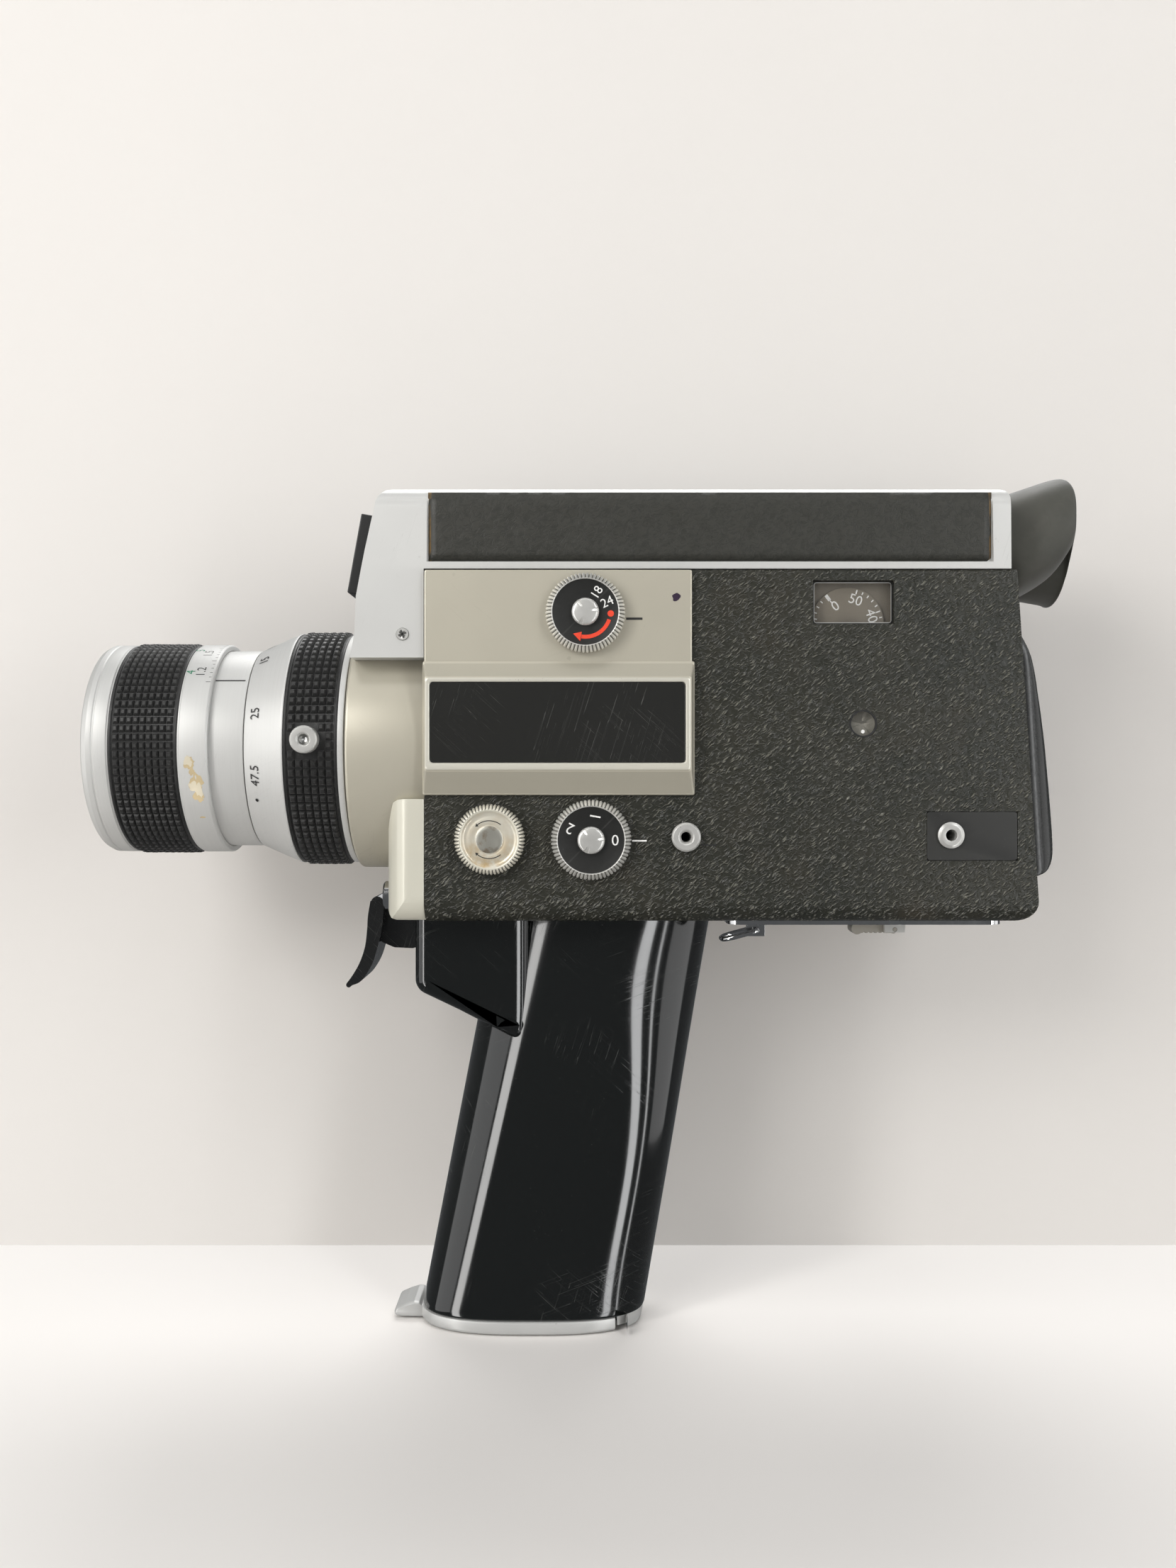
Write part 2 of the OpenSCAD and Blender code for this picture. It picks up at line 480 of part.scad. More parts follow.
module exposure_knob() {
    color([0.86, 0.85, 0.8]) translate([knob_x, 0, knob_z]) rotate([90, 0, 0]) difference() {
        union() {
            translate([0, 0, 29.5]) linear_extrude(2.7) polygon(teeth(dial_ribs, knob_r - 0.35, knob_r));
            translate([0, 0, 32.19]) cylinder(r = knob_r - 0.7, h = 0.4);
        }
        translate([0, 0, 31.9]) cylinder(r = 5.8, h = 3);
        translate([0, 0, 29]) cylinder(r = 1.15, h = 2.7);
    }
}

// ---------- trigger ----------
trig_xz = concat([[-39.9, 101.2], [-40.3, 98], [-40.4, 94.7], [-41.0, 90.3], [-42.3, 86.6], [-44.0, 83.5], [-45.7, 81.3]],
    [[-45.0, 80.9], [-42.4, 81.6], [-40.6, 83.8], [-39.0, 86.9], [-37.5, 91.8], [-36.7, 96], [-36.3, 101.4], [-38.1, 102.2]]);
module trigger() {
    color([0.06, 0.06, 0.06]) {
        union() {
            cyl_y(trig_x, trig_z, 1.0, -8.9, 8.9);
            prism_y(trig_xz, -7.6, 7.6);
            prism_y([[-37.2, 100.0], [-37.8, 91.2], [-34.5, 89.8], [-30, 89.6], [-26.9, 90.4], [-26.9, 95.5], [-28.6, 100.8], [-29.5, 102.6], [-32.5, 102.6], [-34.5, 100.4]], -2.9, 2.9);
        }
    }
}
module trigger_switch() {
    color([0.35, 0.2, 0.12]) difference() { box(-20.5, -9, -4.5, 4.5, 86, 94.6); cyl_x(0, 91.5, 1.25, -30, -14); }
}
module switch_plunger() { color([0.8, 0.75, 0.6]) { cyl_x(0, 91.5, 1.2, -26.7, -17.5); } }

// ---------- rear door ----------
bulge_xz = [[-1.2, 9.6], [1.2, 9.4], [6.0, 10.6], [8.6, 13.8], [9.3, 18.5], [9.0, 27], [8.2, 40], [7.0, 51], [5.6, 60.5], [3.0, 66.4], [0.9, 69.9], [-1.2, 70.4]];
bulge_in = [[-3, 11.5], [4.8, 12.2], [7.2, 15.2], [7.7, 19], [7.4, 27], [6.6, 40], [5.4, 51], [4.0, 60], [1.4, 65.6], [-3, 68.4]];
module rear_door() {
    color([0.09, 0.09, 0.09]) rear_frame() difference() {
        union() {
            box(-2.2, -0.2, -26.1, 23.8, 2.9, 72.9);
            box(-2.2, -0.2, 23.7, 28.6, 17, 59);
            intersection() {
                prism_y(bulge_xz, -20, 20);
                prism_z(concat([[-3, -19.5], [3, -19.5]], arc(3.4, -13.4, 6.1, 270, 360, 7), arc(3.4, 13.4, 6.1, 0, 90, 7), [[3, 19.5], [-3, 19.5]]), 0, 80);
            }
            // moving knuckle
            translate([-3.2, 26.6, 17]) cylinder(r = 2.3, h = 42);
            box(-3.2, -0.9, 24.3, 28.5, 17, 59);
            translate([-3.2, 26.6, 8.2]) cylinder(r = 0.9, h = 59.6);
        }
        intersection() {
            prism_y(bulge_in, -18, 18);
            prism_z(concat([[-3.5, -17.6], [2.0, -17.6]], arc(2.6, -12.8, 4.8, 270, 360, 5), arc(2.6, 12.8, 4.8, 0, 90, 5), [[2.0, 17.6], [-3.5, 17.6]]), 0, 80);
        }
    }
}

// ---------- inside ----------
module film_chamber() { // tub that holds the film cartridge, open to the rear
    color([0.14, 0.14, 0.14]) difference() {
        box(33.2, 105.8, -17.4, 11.4, 101.3, 172.6);
        box(34.6, 120, -16.0, 10.0, 102.7, 171.2);
        cyl_y(film_x, film_z, 3.2, -20, -14);
        box(33, 35, -9, 9, 130, 148);
        cyl_y(71, 136, 3.4, 8, 14);
    }
}
module film_gate() {
    color([0.7, 0.7, 0.68]) difference() {
        union() { box(33.3, 34.5, -8.9, 8.9, 130.1, 147.9); box(31.2, 33.31, -6, 6, 134, 143.6); }
        box(30, 36, -2.9, 2.9, lens_z - 2.1, lens_z + 2.1);
    }
}
module counter_dial() {
    color([0.45, 0.45, 0.43]) { cyl_y(count_x, count_z, 9.4, -26.3, -25.6); cyl_y(count_x, count_z, 1.2, -25.65, -18.2); }
}
module drive_motor() {
    color([0.6, 0.6, 0.6]) translate([0, motor_y, motor_z]) rotate([0, 90, 0]) {
        difference() { union() { translate([0, 0, -18]) cylinder(r = 9.8, h = 31); translate([0, 0, 12.9]) cylinder(r = 3.2, h = 1.6); } translate([0, 0, -16]) cylinder(r = 0.85, h = 40); }
    }
}
module motor_pinion() {
    color([0.8, 0.68, 0.35]) translate([0, motor_y, motor_z]) rotate([0, 90, 0]) {
        translate([0, 0, 15.4]) linear_extrude(4.2) polygon(teeth(10, 4 - 0.75, 4 + 0.5, mesh_a + 162));
        translate([0, 0, -15]) cylinder(r = 0.8, h = 34.6);
    }
}
module shutter() {
    color([0.55, 0.55, 0.53]) translate([0, 0, shut_z]) rotate([0, 90, 0]) {
        translate([0, 0, 16]) linear_extrude(3) polygon(teeth(30, 12 - 0.8, 12 + 0.5, mesh_a));
        translate([0, 0, 6]) cylinder(r = 1.2, h = 21.8);
        difference() {
            translate([0, 0, 24.2]) cylinder(r = 15.6, h = 0.8);
            // open sector
            translate([0, 0, 24]) linear_extrude(2) polygon(concat([for (a = [100:10:260]) [17.5 * cos(a), 17.5 * sin(a)]], [for (a = [260:-10:100]) [6.5 * cos(a), 6.5 * sin(a)]]));
        }
    }
}
module takeup_spindle() {
    color([0.75, 0.74, 0.7]) { cyl_y(71, 136, 3.3, 4.5, 12.6); cyl_y(71, 136, 10, 12.6, 15.2); cyl_y(71, 136, 1.5, 15.1, 20);
        for (a = [0:60:300]) translate([71, 0, 136]) rotate([0, a, 0]) box(1.5, 4.1, 4.6, 8, -0.5, 0.5); }
}
module finder_optics() { // beam splitter on the axis, turning prism above it and eyepiece lens
    color([0.7, 0.8, 0.85, 0.5]) {
        box(-18, -6, -6, 6, lens_z - 6, lens_z + 6);
        prism_y([[-18, 182], [-6, 182], [-6, 194]], -6, 6);
        turned_eye([[0, 111.4], [6.1, 111.4], [6.1, 112.6], [3, 113.4], [0, 113.6]]);
    }
}
module finder_tube() {
    color([0.2, 0.2, 0.2]) difference() {
        union() { cyl_x(0, eye_z, 7.6, -5.5, 99); cyl_x(0, eye_z, 7.9, 98.9, 113.6); box(20, 26, -25.8, 25.8, 180.7, 183.5); }
        cyl_x(0, eye_z, 6.2, -6, 115);
    }
}
module diopter_ring() {
    color([0.1, 0.1, 0.1]) difference() {
        translate([110.9, 0, eye_z]) rotate([90, 0, 90]) linear_extrude(4.0) polygon(teeth(36, 10.6, 10.9));
        cyl_x(0, eye_z, 7.98, 100, 120);
    }
}
module turned_eye(pts) { translate([0, 0, eye_z]) rotate([0, 90, 0]) rotate_extrude($fn = 64) polygon(pts); }
cup_xz = [[109.6, 199.0], [118, 201.4], [126.2, 203.9], [127.4, 203.2], [127.7, 196], [127.9, 189], [126.8, 183.2], [124.6, 179.6], [121, 177], [117, 175], [113.8, 172.7], [112.2, 174.6], [111.4, 178], [109.6, 180]];
module eyecup() {
    color([0.28, 0.28, 0.26]) difference() {
        intersection() {
            prism_y(cup_xz, -21, 21);
            prism_x(rrect(-21, 170, 21, 206, 9, 6), 100, 140);
        }
        cyl_x(0, eye_z, 11.3, 100, 140);
        turned_eye([[0, 114.6], [11.3, 114.6], [14.2, 140], [0, 140]]);
    }
}

left_shell();
left_cover();
right_shell();
top_housing();
leatherette_panels();
front_plate();
nameplate();
lens_mount();
corner_cover();
meter_bezel();
meter_window();
meter_movement();
release_socket();
side_windows();
remote_plate();
remote_jack();
aux_socket();
bottom_plate();
grip_left();
grip_right();
trigger_guard();
tripod_bush();
battery_contacts();
battery_cover();
housing_screws();
lens_barrel();
relay_lens();
focus_ring();
focus_rubber();
front_lens();
helicoid_ring();
zoom_ring();
zoom_rubber();
zoom_lever_socket();
variator_cell();
variator_lens();
speed_dial();
speed_dial_cap();
main_switch();
main_switch_cap();
exposure_shaft();
exposure_knob();
trigger();
trigger_switch();
switch_plunger();
rear_door();
latch_disc();
latch_key();
strap_ring();
counter_dial();
film_chamber();
film_gate();
drive_motor();
motor_pinion();
shutter();
takeup_spindle();
finder_optics();
finder_tube();
diopter_ring();
eyecup();
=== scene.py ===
import bpy, bmesh, math, json, random
from mathutils import Vector, Matrix, noise as mnoise

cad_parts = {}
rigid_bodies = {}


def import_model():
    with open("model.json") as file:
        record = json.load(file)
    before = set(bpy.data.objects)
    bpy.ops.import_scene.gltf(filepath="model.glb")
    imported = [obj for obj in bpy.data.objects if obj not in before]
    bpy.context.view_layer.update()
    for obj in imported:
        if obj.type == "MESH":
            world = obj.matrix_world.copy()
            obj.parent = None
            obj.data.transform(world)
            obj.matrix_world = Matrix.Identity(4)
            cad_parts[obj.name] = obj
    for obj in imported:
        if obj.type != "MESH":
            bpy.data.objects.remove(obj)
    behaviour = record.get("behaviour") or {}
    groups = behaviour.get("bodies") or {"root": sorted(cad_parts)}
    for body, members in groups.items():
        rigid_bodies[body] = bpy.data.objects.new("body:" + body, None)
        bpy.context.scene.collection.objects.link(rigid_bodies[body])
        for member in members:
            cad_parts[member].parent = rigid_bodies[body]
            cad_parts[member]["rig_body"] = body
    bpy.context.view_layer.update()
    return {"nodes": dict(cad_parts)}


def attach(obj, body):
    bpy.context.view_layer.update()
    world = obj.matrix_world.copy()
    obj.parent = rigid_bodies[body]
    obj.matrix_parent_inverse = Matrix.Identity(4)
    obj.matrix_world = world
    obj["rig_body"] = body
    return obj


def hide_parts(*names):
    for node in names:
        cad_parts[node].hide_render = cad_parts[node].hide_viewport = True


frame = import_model()
N = frame["nodes"]
MM = 0.001
LZ = 138.8
random.seed(7)


# ------------------------------------------------------------------ node helpers
class Mat:
    """A procedural material: a Principled shader fed by a few texture nodes."""

    def __init__(self, name, base, rough=0.5, metal=0.0, **sock):
        self.m = bpy.data.materials.new(name)
        self.m.use_nodes = True
        self.t = self.m.node_tree
        self.t.nodes.clear()
        self.out = self.t.nodes.new("ShaderNodeOutputMaterial")
        self.p = self.t.nodes.new("ShaderNodeBsdfPrincipled")
        self.t.links.new(self.p.outputs[0], self.out.inputs[0])
        self.p.inputs["Base Color"].default_value = (*base, 1)
        self.p.inputs["Roughness"].default_value = rough
        self.p.inputs["Metallic"].default_value = metal
        for k, v in sock.items():
            self.p.inputs[k.replace("_", " ")].default_value = v
        self.tc = self.t.nodes.new("ShaderNodeTexCoord")
        self.base = base
        self.h = None

    def n(self, kind, **inputs):
        node = self.t.nodes.new("ShaderNode" + kind)
        for k, v in inputs.items():
            key = k.replace("_", " ")
            if key in node.inputs:
                self.put(node.inputs[key], v)
            else:
                setattr(node, k, v)
        return node

    def put(self, socket, v):
        if isinstance(v, bpy.types.NodeSocket):
            self.t.links.new(v, socket)
        elif isinstance(v, (tuple, list)) and len(v) == 3 and socket.type == "RGBA":
            socket.default_value = (*v, 1)
        else:
            socket.default_value = v

    def coords(self, scale=(1, 1, 1), rot=(0, 0, 0)):
        src = self.tc.outputs["Object"]
        if any(rot):        # turn first, then stretch, so that a pattern can lie at an angle
            r = self.t.nodes.new("ShaderNodeMapping")
            r.inputs["Rotation"].default_value = rot
            self.t.links.new(src, r.inputs[0])
            src = r.outputs[0]
        mp = self.t.nodes.new("ShaderNodeMapping")
        mp.inputs["Scale"].default_value = scale
        self.t.links.new(src, mp.inputs[0])
        return mp.outputs[0]

    def noise(self, scale, detail=3, rough=0.5, dist=0.0, vec=None, cs=(1, 1, 1), rot=(0, 0, 0)):
        nd = self.t.nodes.new("ShaderNodeTexNoise")
        nd.inputs["Scale"].default_value = scale
        nd.inputs["Detail"].default_value = detail
        nd.inputs["Roughness"].default_value = rough
        nd.inputs["Distortion"].default_value = dist
        self.t.links.new(vec if vec is not None else self.coords(cs, rot), nd.inputs["Vector"])
        return nd.outputs[0]

    def voro(self, scale, feature="F1", vec=None, cs=(1, 1, 1), rot=(0, 0, 0), rand=1.0, smooth=None):
        nd = self.t.nodes.new("ShaderNodeTexVoronoi")
        nd.feature = feature
        nd.inputs["Scale"].default_value = scale
        nd.inputs["Randomness"].default_value = rand
        if smooth is not None and "Smoothness" in nd.inputs:
            nd.inputs["Smoothness"].default_value = smooth
        self.t.links.new(vec if vec is not None else self.coords(cs, rot), nd.inputs["Vector"])
        return nd.outputs["Distance"]

    def ramp(self, fac, stops, interp="LINEAR"):
        nd = self.t.nodes.new("ShaderNodeValToRGB")
        nd.color_ramp.interpolation = interp
        els = nd.color_ramp.elements
        while len(els) < len(stops):
            els.new(0.5)
        for e_, (pos, c) in zip(els, stops):
            e_.position = pos
            e_.color = (c, c, c, 1) if isinstance(c, (int, float)) else (*c, 1)
        self.t.links.new(fac, nd.inputs[0])
        return nd.outputs[0]

    def math(self, op, a, b=0.0, clamp=False):
        nd = self.t.nodes.new("ShaderNodeMath")
        nd.operation = op
        nd.use_clamp = clamp
        self.put(nd.inputs[0], a)
        self.put(nd.inputs[1], b)
        return nd.outputs[0]

    def mix(self, fac, a, b):
        nd = self.t.nodes.new("ShaderNodeMix")
        nd.data_type = "RGBA"
        self.put(nd.inputs[0], fac)
        self.put(nd.inputs[6], a)
        self.put(nd.inputs[7], b)
        return nd.outputs[2]

    def bump(self, height, dist=0.0001, strength=1.0):
        nd = self.t.nodes.new("ShaderNodeBump")
        nd.inputs["Strength"].default_value = strength
        nd.inputs["Distance"].default_value = dist
        self.t.links.new(height, nd.inputs["Height"])
        if self.h is not None:
            self.t.links.new(self.h, nd.inputs["Normal"])
        self.h = nd.outputs[0]
        self.t.links.new(self.h, self.p.inputs["Normal"])
        return self

    def color(self, c):
        self.t.links.new(c, self.p.inputs["Base Color"])
        return self

    def rough(self, r):
        self.t.links.new(r, self.p.inputs["Roughness"])
        return self

    def edges(self):
        """0 on flats, 1 on convex edges."""
        g = self.t.nodes.new("ShaderNodeNewGeometry")
        return self.ramp(g.outputs["Pointiness"], [(0.505, 0.0), (0.58, 1.0)])


def sc(c, k):
    return tuple(min(1.0, x * k) for x in c)


def scratches(m, k=1.0, amount=0.66):
    """A few thin straight marks at several angles, 0 where clean."""
    out = None
    for i, (ang, tilt) in enumerate(((0.35, 0.2), (-0.75, -0.1), (1.25, 0.3))):
        a = m.noise(1.0, 1, 0.5, 0.0, cs=(38 * k, 90 * k, 2100 * k), rot=(tilt, ang, 0.13 * i))
        a = m.ramp(a, [(amount, 0.0), (amount + 0.008, 1.0), (amount + 0.016, 0.0)])
        patch = m.ramp(m.noise(30 + 9 * i, 1), [(0.54, 0.0), (0.64, 1.0)])
        a = m.math("MULTIPLY", a, patch)
        out = a if out is None else m.math("MAXIMUM", out, a)
    return out


# ------------------------------------------------------------------ materials
def metal_paint(name, base, rough=0.36, metal=0.55, mark=0.8, dirt=(0.16, 0.14, 0.10), dirt_amt=0.25):
    m = Mat(name, base, rough, metal, Coat_Weight=0.12, Coat_Roughness=0.2)
    fine = m.noise(2600, 2)
    broad = m.noise(28, 3, 0.55)
    c = m.mix(m.ramp(broad, [(0.3, 0.0), (0.75, 1.0)]), sc(base, 0.965), sc(base, 1.03))
    spots = m.ramp(m.noise(420, 2), [(0.70, 0.0), (0.735, 1.0)])
    spots = m.math("MULTIPLY", spots, m.ramp(m.noise(30, 2), [(0.55, 0.0), (0.7, 1.0)]))
    c = m.mix(m.math("MULTIPLY", spots, dirt_amt), c, dirt)
    scr = scratches(m)
    c = m.mix(m.math("MULTIPLY", scr, 0.35 * mark), c, sc(base, 0.55))
    m.color(c)
    r = m.math("ADD", m.math("MULTIPLY", fine, 0.10), m.math("MULTIPLY", broad, 0.12))
    r = m.math("ADD", r, rough - 0.11)
    m.rough(m.math("ADD", r, m.math("MULTIPLY", scr, 0.15)))
    m.bump(fine, 0.00001, 0.35)
    m.bump(m.math("MULTIPLY", scr, -1.0), 0.00002, 0.4 * mark)
    return m.m


def turned_metal(name, base, rough=0.3, axis="X", stain=None):
    """Anodised aluminium turned on a lathe: very fine lines round the axis."""
    m = Mat(name, base, rough, 0.28 if name == "lens_silver" else 0.6)
    cs = {"X": (5200, 30, 30), "Y": (30, 5200, 30)}[axis]
    lines = m.noise(1.0, 2, 0.6, cs=cs)
    broad = m.noise(35, 3, 0.6)
    c = m.mix(m.ramp(broad, [(0.3, 0.0), (0.7, 1.0)]), sc(base, 0.95), sc(base, 1.02))
    c = m.mix(m.math("MULTIPLY", m.ramp(lines, [(0.4, 0.0), (0.7, 1.0)]), 0.12), c, sc(base, 0.75))
    scr = scratches(m, 1.2, 0.63)
    c = m.mix(m.math("MULTIPLY", scr, 0.4), c, sc(base, 0.5))
    m.color(c)
    r = m.math("ADD", m.math("MULTIPLY", broad, 0.16), rough - 0.06)
    m.rough(m.math("ADD", r, m.math("MULTIPLY", lines, 0.05)))
    m.bump(lines, 0.000006, 0.35)
    return m.m


def plain_metal(name, base, rough=0.22, tone=0.12, metal=1.0):
    m = Mat(name, base, rough, metal)
    b = m.noise(160, 4, 0.6)
    m.color(m.mix(m.ramp(b, [(0.35, 0.0), (0.75, 1.0)]), sc(base, 1 - tone), base))
    m.rough(m.math("ADD", m.math("MULTIPLY", m.noise(600, 3), 0.22), rough - 0.09))
    m.bump(m.noise(1800, 2), 0.000008, 0.4)
    return m.m


def crackle_black():
    base = (0.034, 0.0345, 0.029)
    m = Mat("crackle_black", base, 0.42, 0.0, Specular_IOR_Level=0.5)
    # short raised strokes, most of them leaning up to the right, gathered in a loose net
    bend = m.t.nodes.new("ShaderNodeTexNoise")
    bend.inputs["Scale"].default_value = 520
    bend.inputs["Detail"].default_value = 2
    m.t.links.new(m.tc.outputs["Object"], bend.inputs["Vector"])
    sub = m.t.nodes.new("ShaderNodeVectorMath")
    sub.operation = "MULTIPLY_ADD"
    m.t.links.new(bend.outputs[1], sub.inputs[0])
    sub.inputs[1].default_value = (0.0011, 0.0011, 0.0011)
    m.t.links.new(m.tc.outputs["Object"], sub.inputs[2])

    def layer(ang, sl, sw, lo, hi, seed, shift=0.0):
        r = m.t.nodes.new("ShaderNodeMapping")
        r.inputs["Rotation"].default_value = (0.05, ang, 0.03)
        r.inputs["Location"].default_value = (seed, seed * 0.7, shift - seed)
        m.t.links.new(sub.outputs[0], r.inputs[0])
        mp = m.t.nodes.new("ShaderNodeMapping")
        mp.inputs["Scale"].default_value = (sl, 480, sw)
        m.t.links.new(r.outputs[0], mp.inputs[0])
        d = m.voro(1.0, "F1", vec=mp.outputs[0])
        return m.ramp(d, [(lo, 1.0), (hi, 0.0)])

    s1 = layer(0.80, 450, 1550, 0.06, 0.40, 0.0)
    s2 = layer(0.62, 620, 2000, 0.06, 0.40, 0.31)
    s3 = layer(-0.25, 600, 1900, 0.05, 0.36, 0.17)
    # offset copies of the first two layers, for the painted shadow beside the strokes
    d1 = layer(0.80, 450, 1550, 0.06, 0.40, 0.0, 0.00026)
    d2 = layer(0.62, 620, 2000, 0.06, 0.40, 0.31, 0.00022)
    net = m.voro(300, "DISTANCE_TO_EDGE", vec=sub.outputs[0])
    web = m.ramp(net, [(0.08, 1.0), (0.34, 0.40)])
    s = m.math("MAXIMUM", m.math("MAXIMUM", s1, m.math("MULTIPLY", s2, 0.8)), m.math("MULTIPLY", s3, 0.6))
    s = m.math("MULTIPLY", s, web)
    fine = m.noise(2600, 3, 0.6)
    low = m.noise(700, 2, 0.5)
    body = m.math("ADD", m.math("MULTIPLY", s, 1.0), m.math("MULTIPLY", fine, 0.16))
    body = m.math("ADD", body, m.math("MULTIPLY", low, 0.35))
    m.bump(body, 0.00042, 1.0)
    warp = m.noise(60, 3, 0.6)
    c = m.mix(m.ramp(warp, [(0.35, 0.0), (0.7, 1.0)]), (0.0195, 0.0205, 0.0155), (0.0290, 0.0280, 0.0205))
    # painted highlight: the raised strokes are coloured paler, standing in for light catching their ridges
    c = m.mix(m.math("MULTIPLY", m.ramp(s, [(0.2, 0.0), (0.75, 1.0)]), 0.85), c, (0.185, 0.182, 0.150))
    # painted shadow: dark lines beside the strokes, offset copies standing in for the shade of their relief
    stroke_shadow = m.math("MULTIPLY", m.math("MAXIMUM", d1, m.math("MULTIPLY", d2, 0.8)), m.math("SUBTRACT", 1.0, m.ramp(s, [(0.05, 0.0), (0.4, 1.0)])))
    c = m.mix(m.math("MULTIPLY", stroke_shadow, 0.75), c, (0.0085, 0.0085, 0.007))
    worn = m.ramp(m.noise(38, 3, 0.6), [(0.56, 0.0), (0.74, 1.0)])
    c = m.mix(m.math("MULTIPLY", worn, 0.30), c, (0.060, 0.046, 0.030))
    m.color(c)
    m.rough(m.math("ADD", m.math("MULTIPLY", m.noise(700, 3), 0.20), 0.20))
    return m.m


def leatherette_mat():
    m = Mat("leatherette_black", (0.034, 0.034, 0.030), 0.5, 0.0, Specular_IOR_Level=0.45)
    wv = m.noise(300, 2, 0.5)
    cell = m.voro(620, "SMOOTH_F1", cs=(0.85, 1, 1.1), smooth=0.5)
    crease = m.ramp(m.noise(1.0, 3, 0.6, 0.8, cs=(520, 520, 760), rot=(0, 0.6, 0)), [(0.42, 1.0), (0.5, 0.0), (0.58, 1.0)])
    h = m.math("SUBTRACT", 1.0, m.math("MULTIPLY", cell, 0.9))
    h = m.math("ADD", m.math("MULTIPLY", h, 0.5), m.math("MULTIPLY", crease, 0.5))
    h = m.math("ADD", h, m.math("MULTIPLY", m.noise(2200, 2), 0.16))
    m.bump(h, 0.00010, 0.42)
    m.bump(wv, 0.0002, 0.22)
    c = m.mix(m.ramp(h, [(0.25, 0.0), (0.9, 1.0)]), (0.0205, 0.0208, 0.0165), (0.0325, 0.0320, 0.0262))
    # rubbed thin toward the two ends, where old glue shows brown
    sep = m.t.nodes.new("ShaderNodeSeparateXYZ")
    m.t.links.new(m.tc.outputs["Object"], sep.inputs[0])
    ends = m.math("MULTIPLY", m.math("ABSOLUTE", m.math("SUBTRACT", sep.outputs[0], 0.04085)), 1.0)
    glue = m.ramp(ends, [(0.0, 0.0), (0.9, 0.0), (1.0, 0.0)])
    e1 = m.math("GREATER_THAN", ends, 0.0634)
    g = m.math("MULTIPLY", e1, m.ramp(m.noise(260, 3), [(0.38, 0.0), (0.55, 1.0)]))
    c = m.mix(m.math("MULTIPLY", g, 0.8), c, (0.16, 0.095, 0.028))
    m.color(c)
    m.rough(m.math("ADD", m.math("MULTIPLY", m.noise(260, 3), 0.22), 0.38))
    return m.m


def gloss_black(name="grip_gloss", base=(0.0060, 0.0070, 0.0068), rough=0.09, marks=1.0):
    m = Mat(name, base, rough, 0.0, Specular_IOR_Level=0.55, Coat_Weight=0.4, Coat_Roughness=0.05)
    scr = scratches(m, 0.9, 0.66)
    scr2 = scratches(m, 2.3, 0.68)
    s = m.math("MAXIMUM", scr, m.math("MULTIPLY", scr2, 0.6))
    dust = m.ramp(m.noise(2400, 2), [(0.73, 0.0), (0.77, 1.0)])
    haze = m.noise(24, 4, 0.6)
    c = m.mix(m.math("MULTIPLY", s, 0.20 * marks), base, (0.30, 0.30, 0.28))
    c = m.mix(m.math("MULTIPLY", dust, 0.10 * marks), c, (0.35, 0.34, 0.32))
    m.color(c)
    r = m.math("ADD", m.math("MULTIPLY", m.ramp(haze, [(0.35, 0.0), (0.8, 1.0)]), 0.10), rough - 0.02)
    m.rough(m.math("ADD", r, m.math("MULTIPLY", s, 0.25)))
    m.bump(m.noise(55, 2, 0.4), 0.00016, 0.10)
    m.bump(m.math("MULTIPLY", s, -1.0), 0.00001, 0.4)
    return m.m


def matte_black(name, base=(0.022, 0.022, 0.020), rough=0.5, grain=1500, depth=0.00003):
    m = Mat(name, base, rough, 0.0)
    g = m.noise(grain, 3, 0.6)
    b = m.noise(60, 3, 0.6)
    c = m.mix(m.ramp(b, [(0.35, 0.0), (0.7, 1.0)]), sc(base, 0.8), sc(base, 1.25))
    c = m.mix(m.math("MULTIPLY", m.edges(), 0.4), c, sc(base, 3.2))
    dust = m.ramp(m.noise(1800, 2), [(0.71, 0.0), (0.75, 1.0)])
    m.color(m.mix(m.math("MULTIPLY", dust, 0.10), c, (0.3, 0.29, 0.27)))
    m.rough(m.math("ADD", m.math("MULTIPLY", g, 0.2), rough - 0.1))
    m.bump(g, depth, 0.4)
    return m.m


def rubber_mat(name="ring_rubber", base=(0.0155, 0.0155, 0.0150)):
    m = Mat(name, base, 0.46, 0.0, Sheen_Weight=0.12, Sheen_Roughness=0.5)
    b = m.noise(90, 4, 0.65)
    c = m.mix(m.ramp(b, [(0.35, 0.0), (0.75, 1.0)]), sc(base, 0.75), sc(base, 1.35))
    dust = m.ramp(m.noise(1400, 3, 0.7), [(0.60, 0.0), (0.70, 1.0)])
    c = m.mix(m.math("MULTIPLY", dust, 0.20), c, (0.16, 0.155, 0.14))
    m.color(c)
    m.rough(m.math("ADD", m.math("MULTIPLY", m.noise(500, 3), 0.24), 0.34))
    m.bump(m.noise(2600, 2), 0.00002, 0.4)
    return m.m


def eyecup_mat():
    base = (0.052, 0.052, 0.043)
    m = Mat("eyecup_rubber", base, 0.62, 0.0, Sheen_Weight=0.25, Sheen_Roughness=0.45)
    b = m.noise(48, 4, 0.6)
    c = m.mix(m.ramp(b, [(0.3, 0.0), (0.75, 1.0)]), (0.040, 0.041, 0.034), (0.066, 0.064, 0.052))
    bloom = m.ramp(m.noise(190, 4, 0.7), [(0.5, 0.0), (0.8, 1.0)])
    c = m.mix(m.math("MULTIPLY", bloom, 0.25), c, (0.11, 0.108, 0.095))
    m.color(c)
    m.rough(m.math("ADD", m.math("MULTIPLY", m.noise(420, 3), 0.2), 0.52))
    m.bump(m.noise(1500, 3), 0.00003, 0.35)
    m.bump(m.noise(70, 2), 0.0002, 0.2)
    return m.m


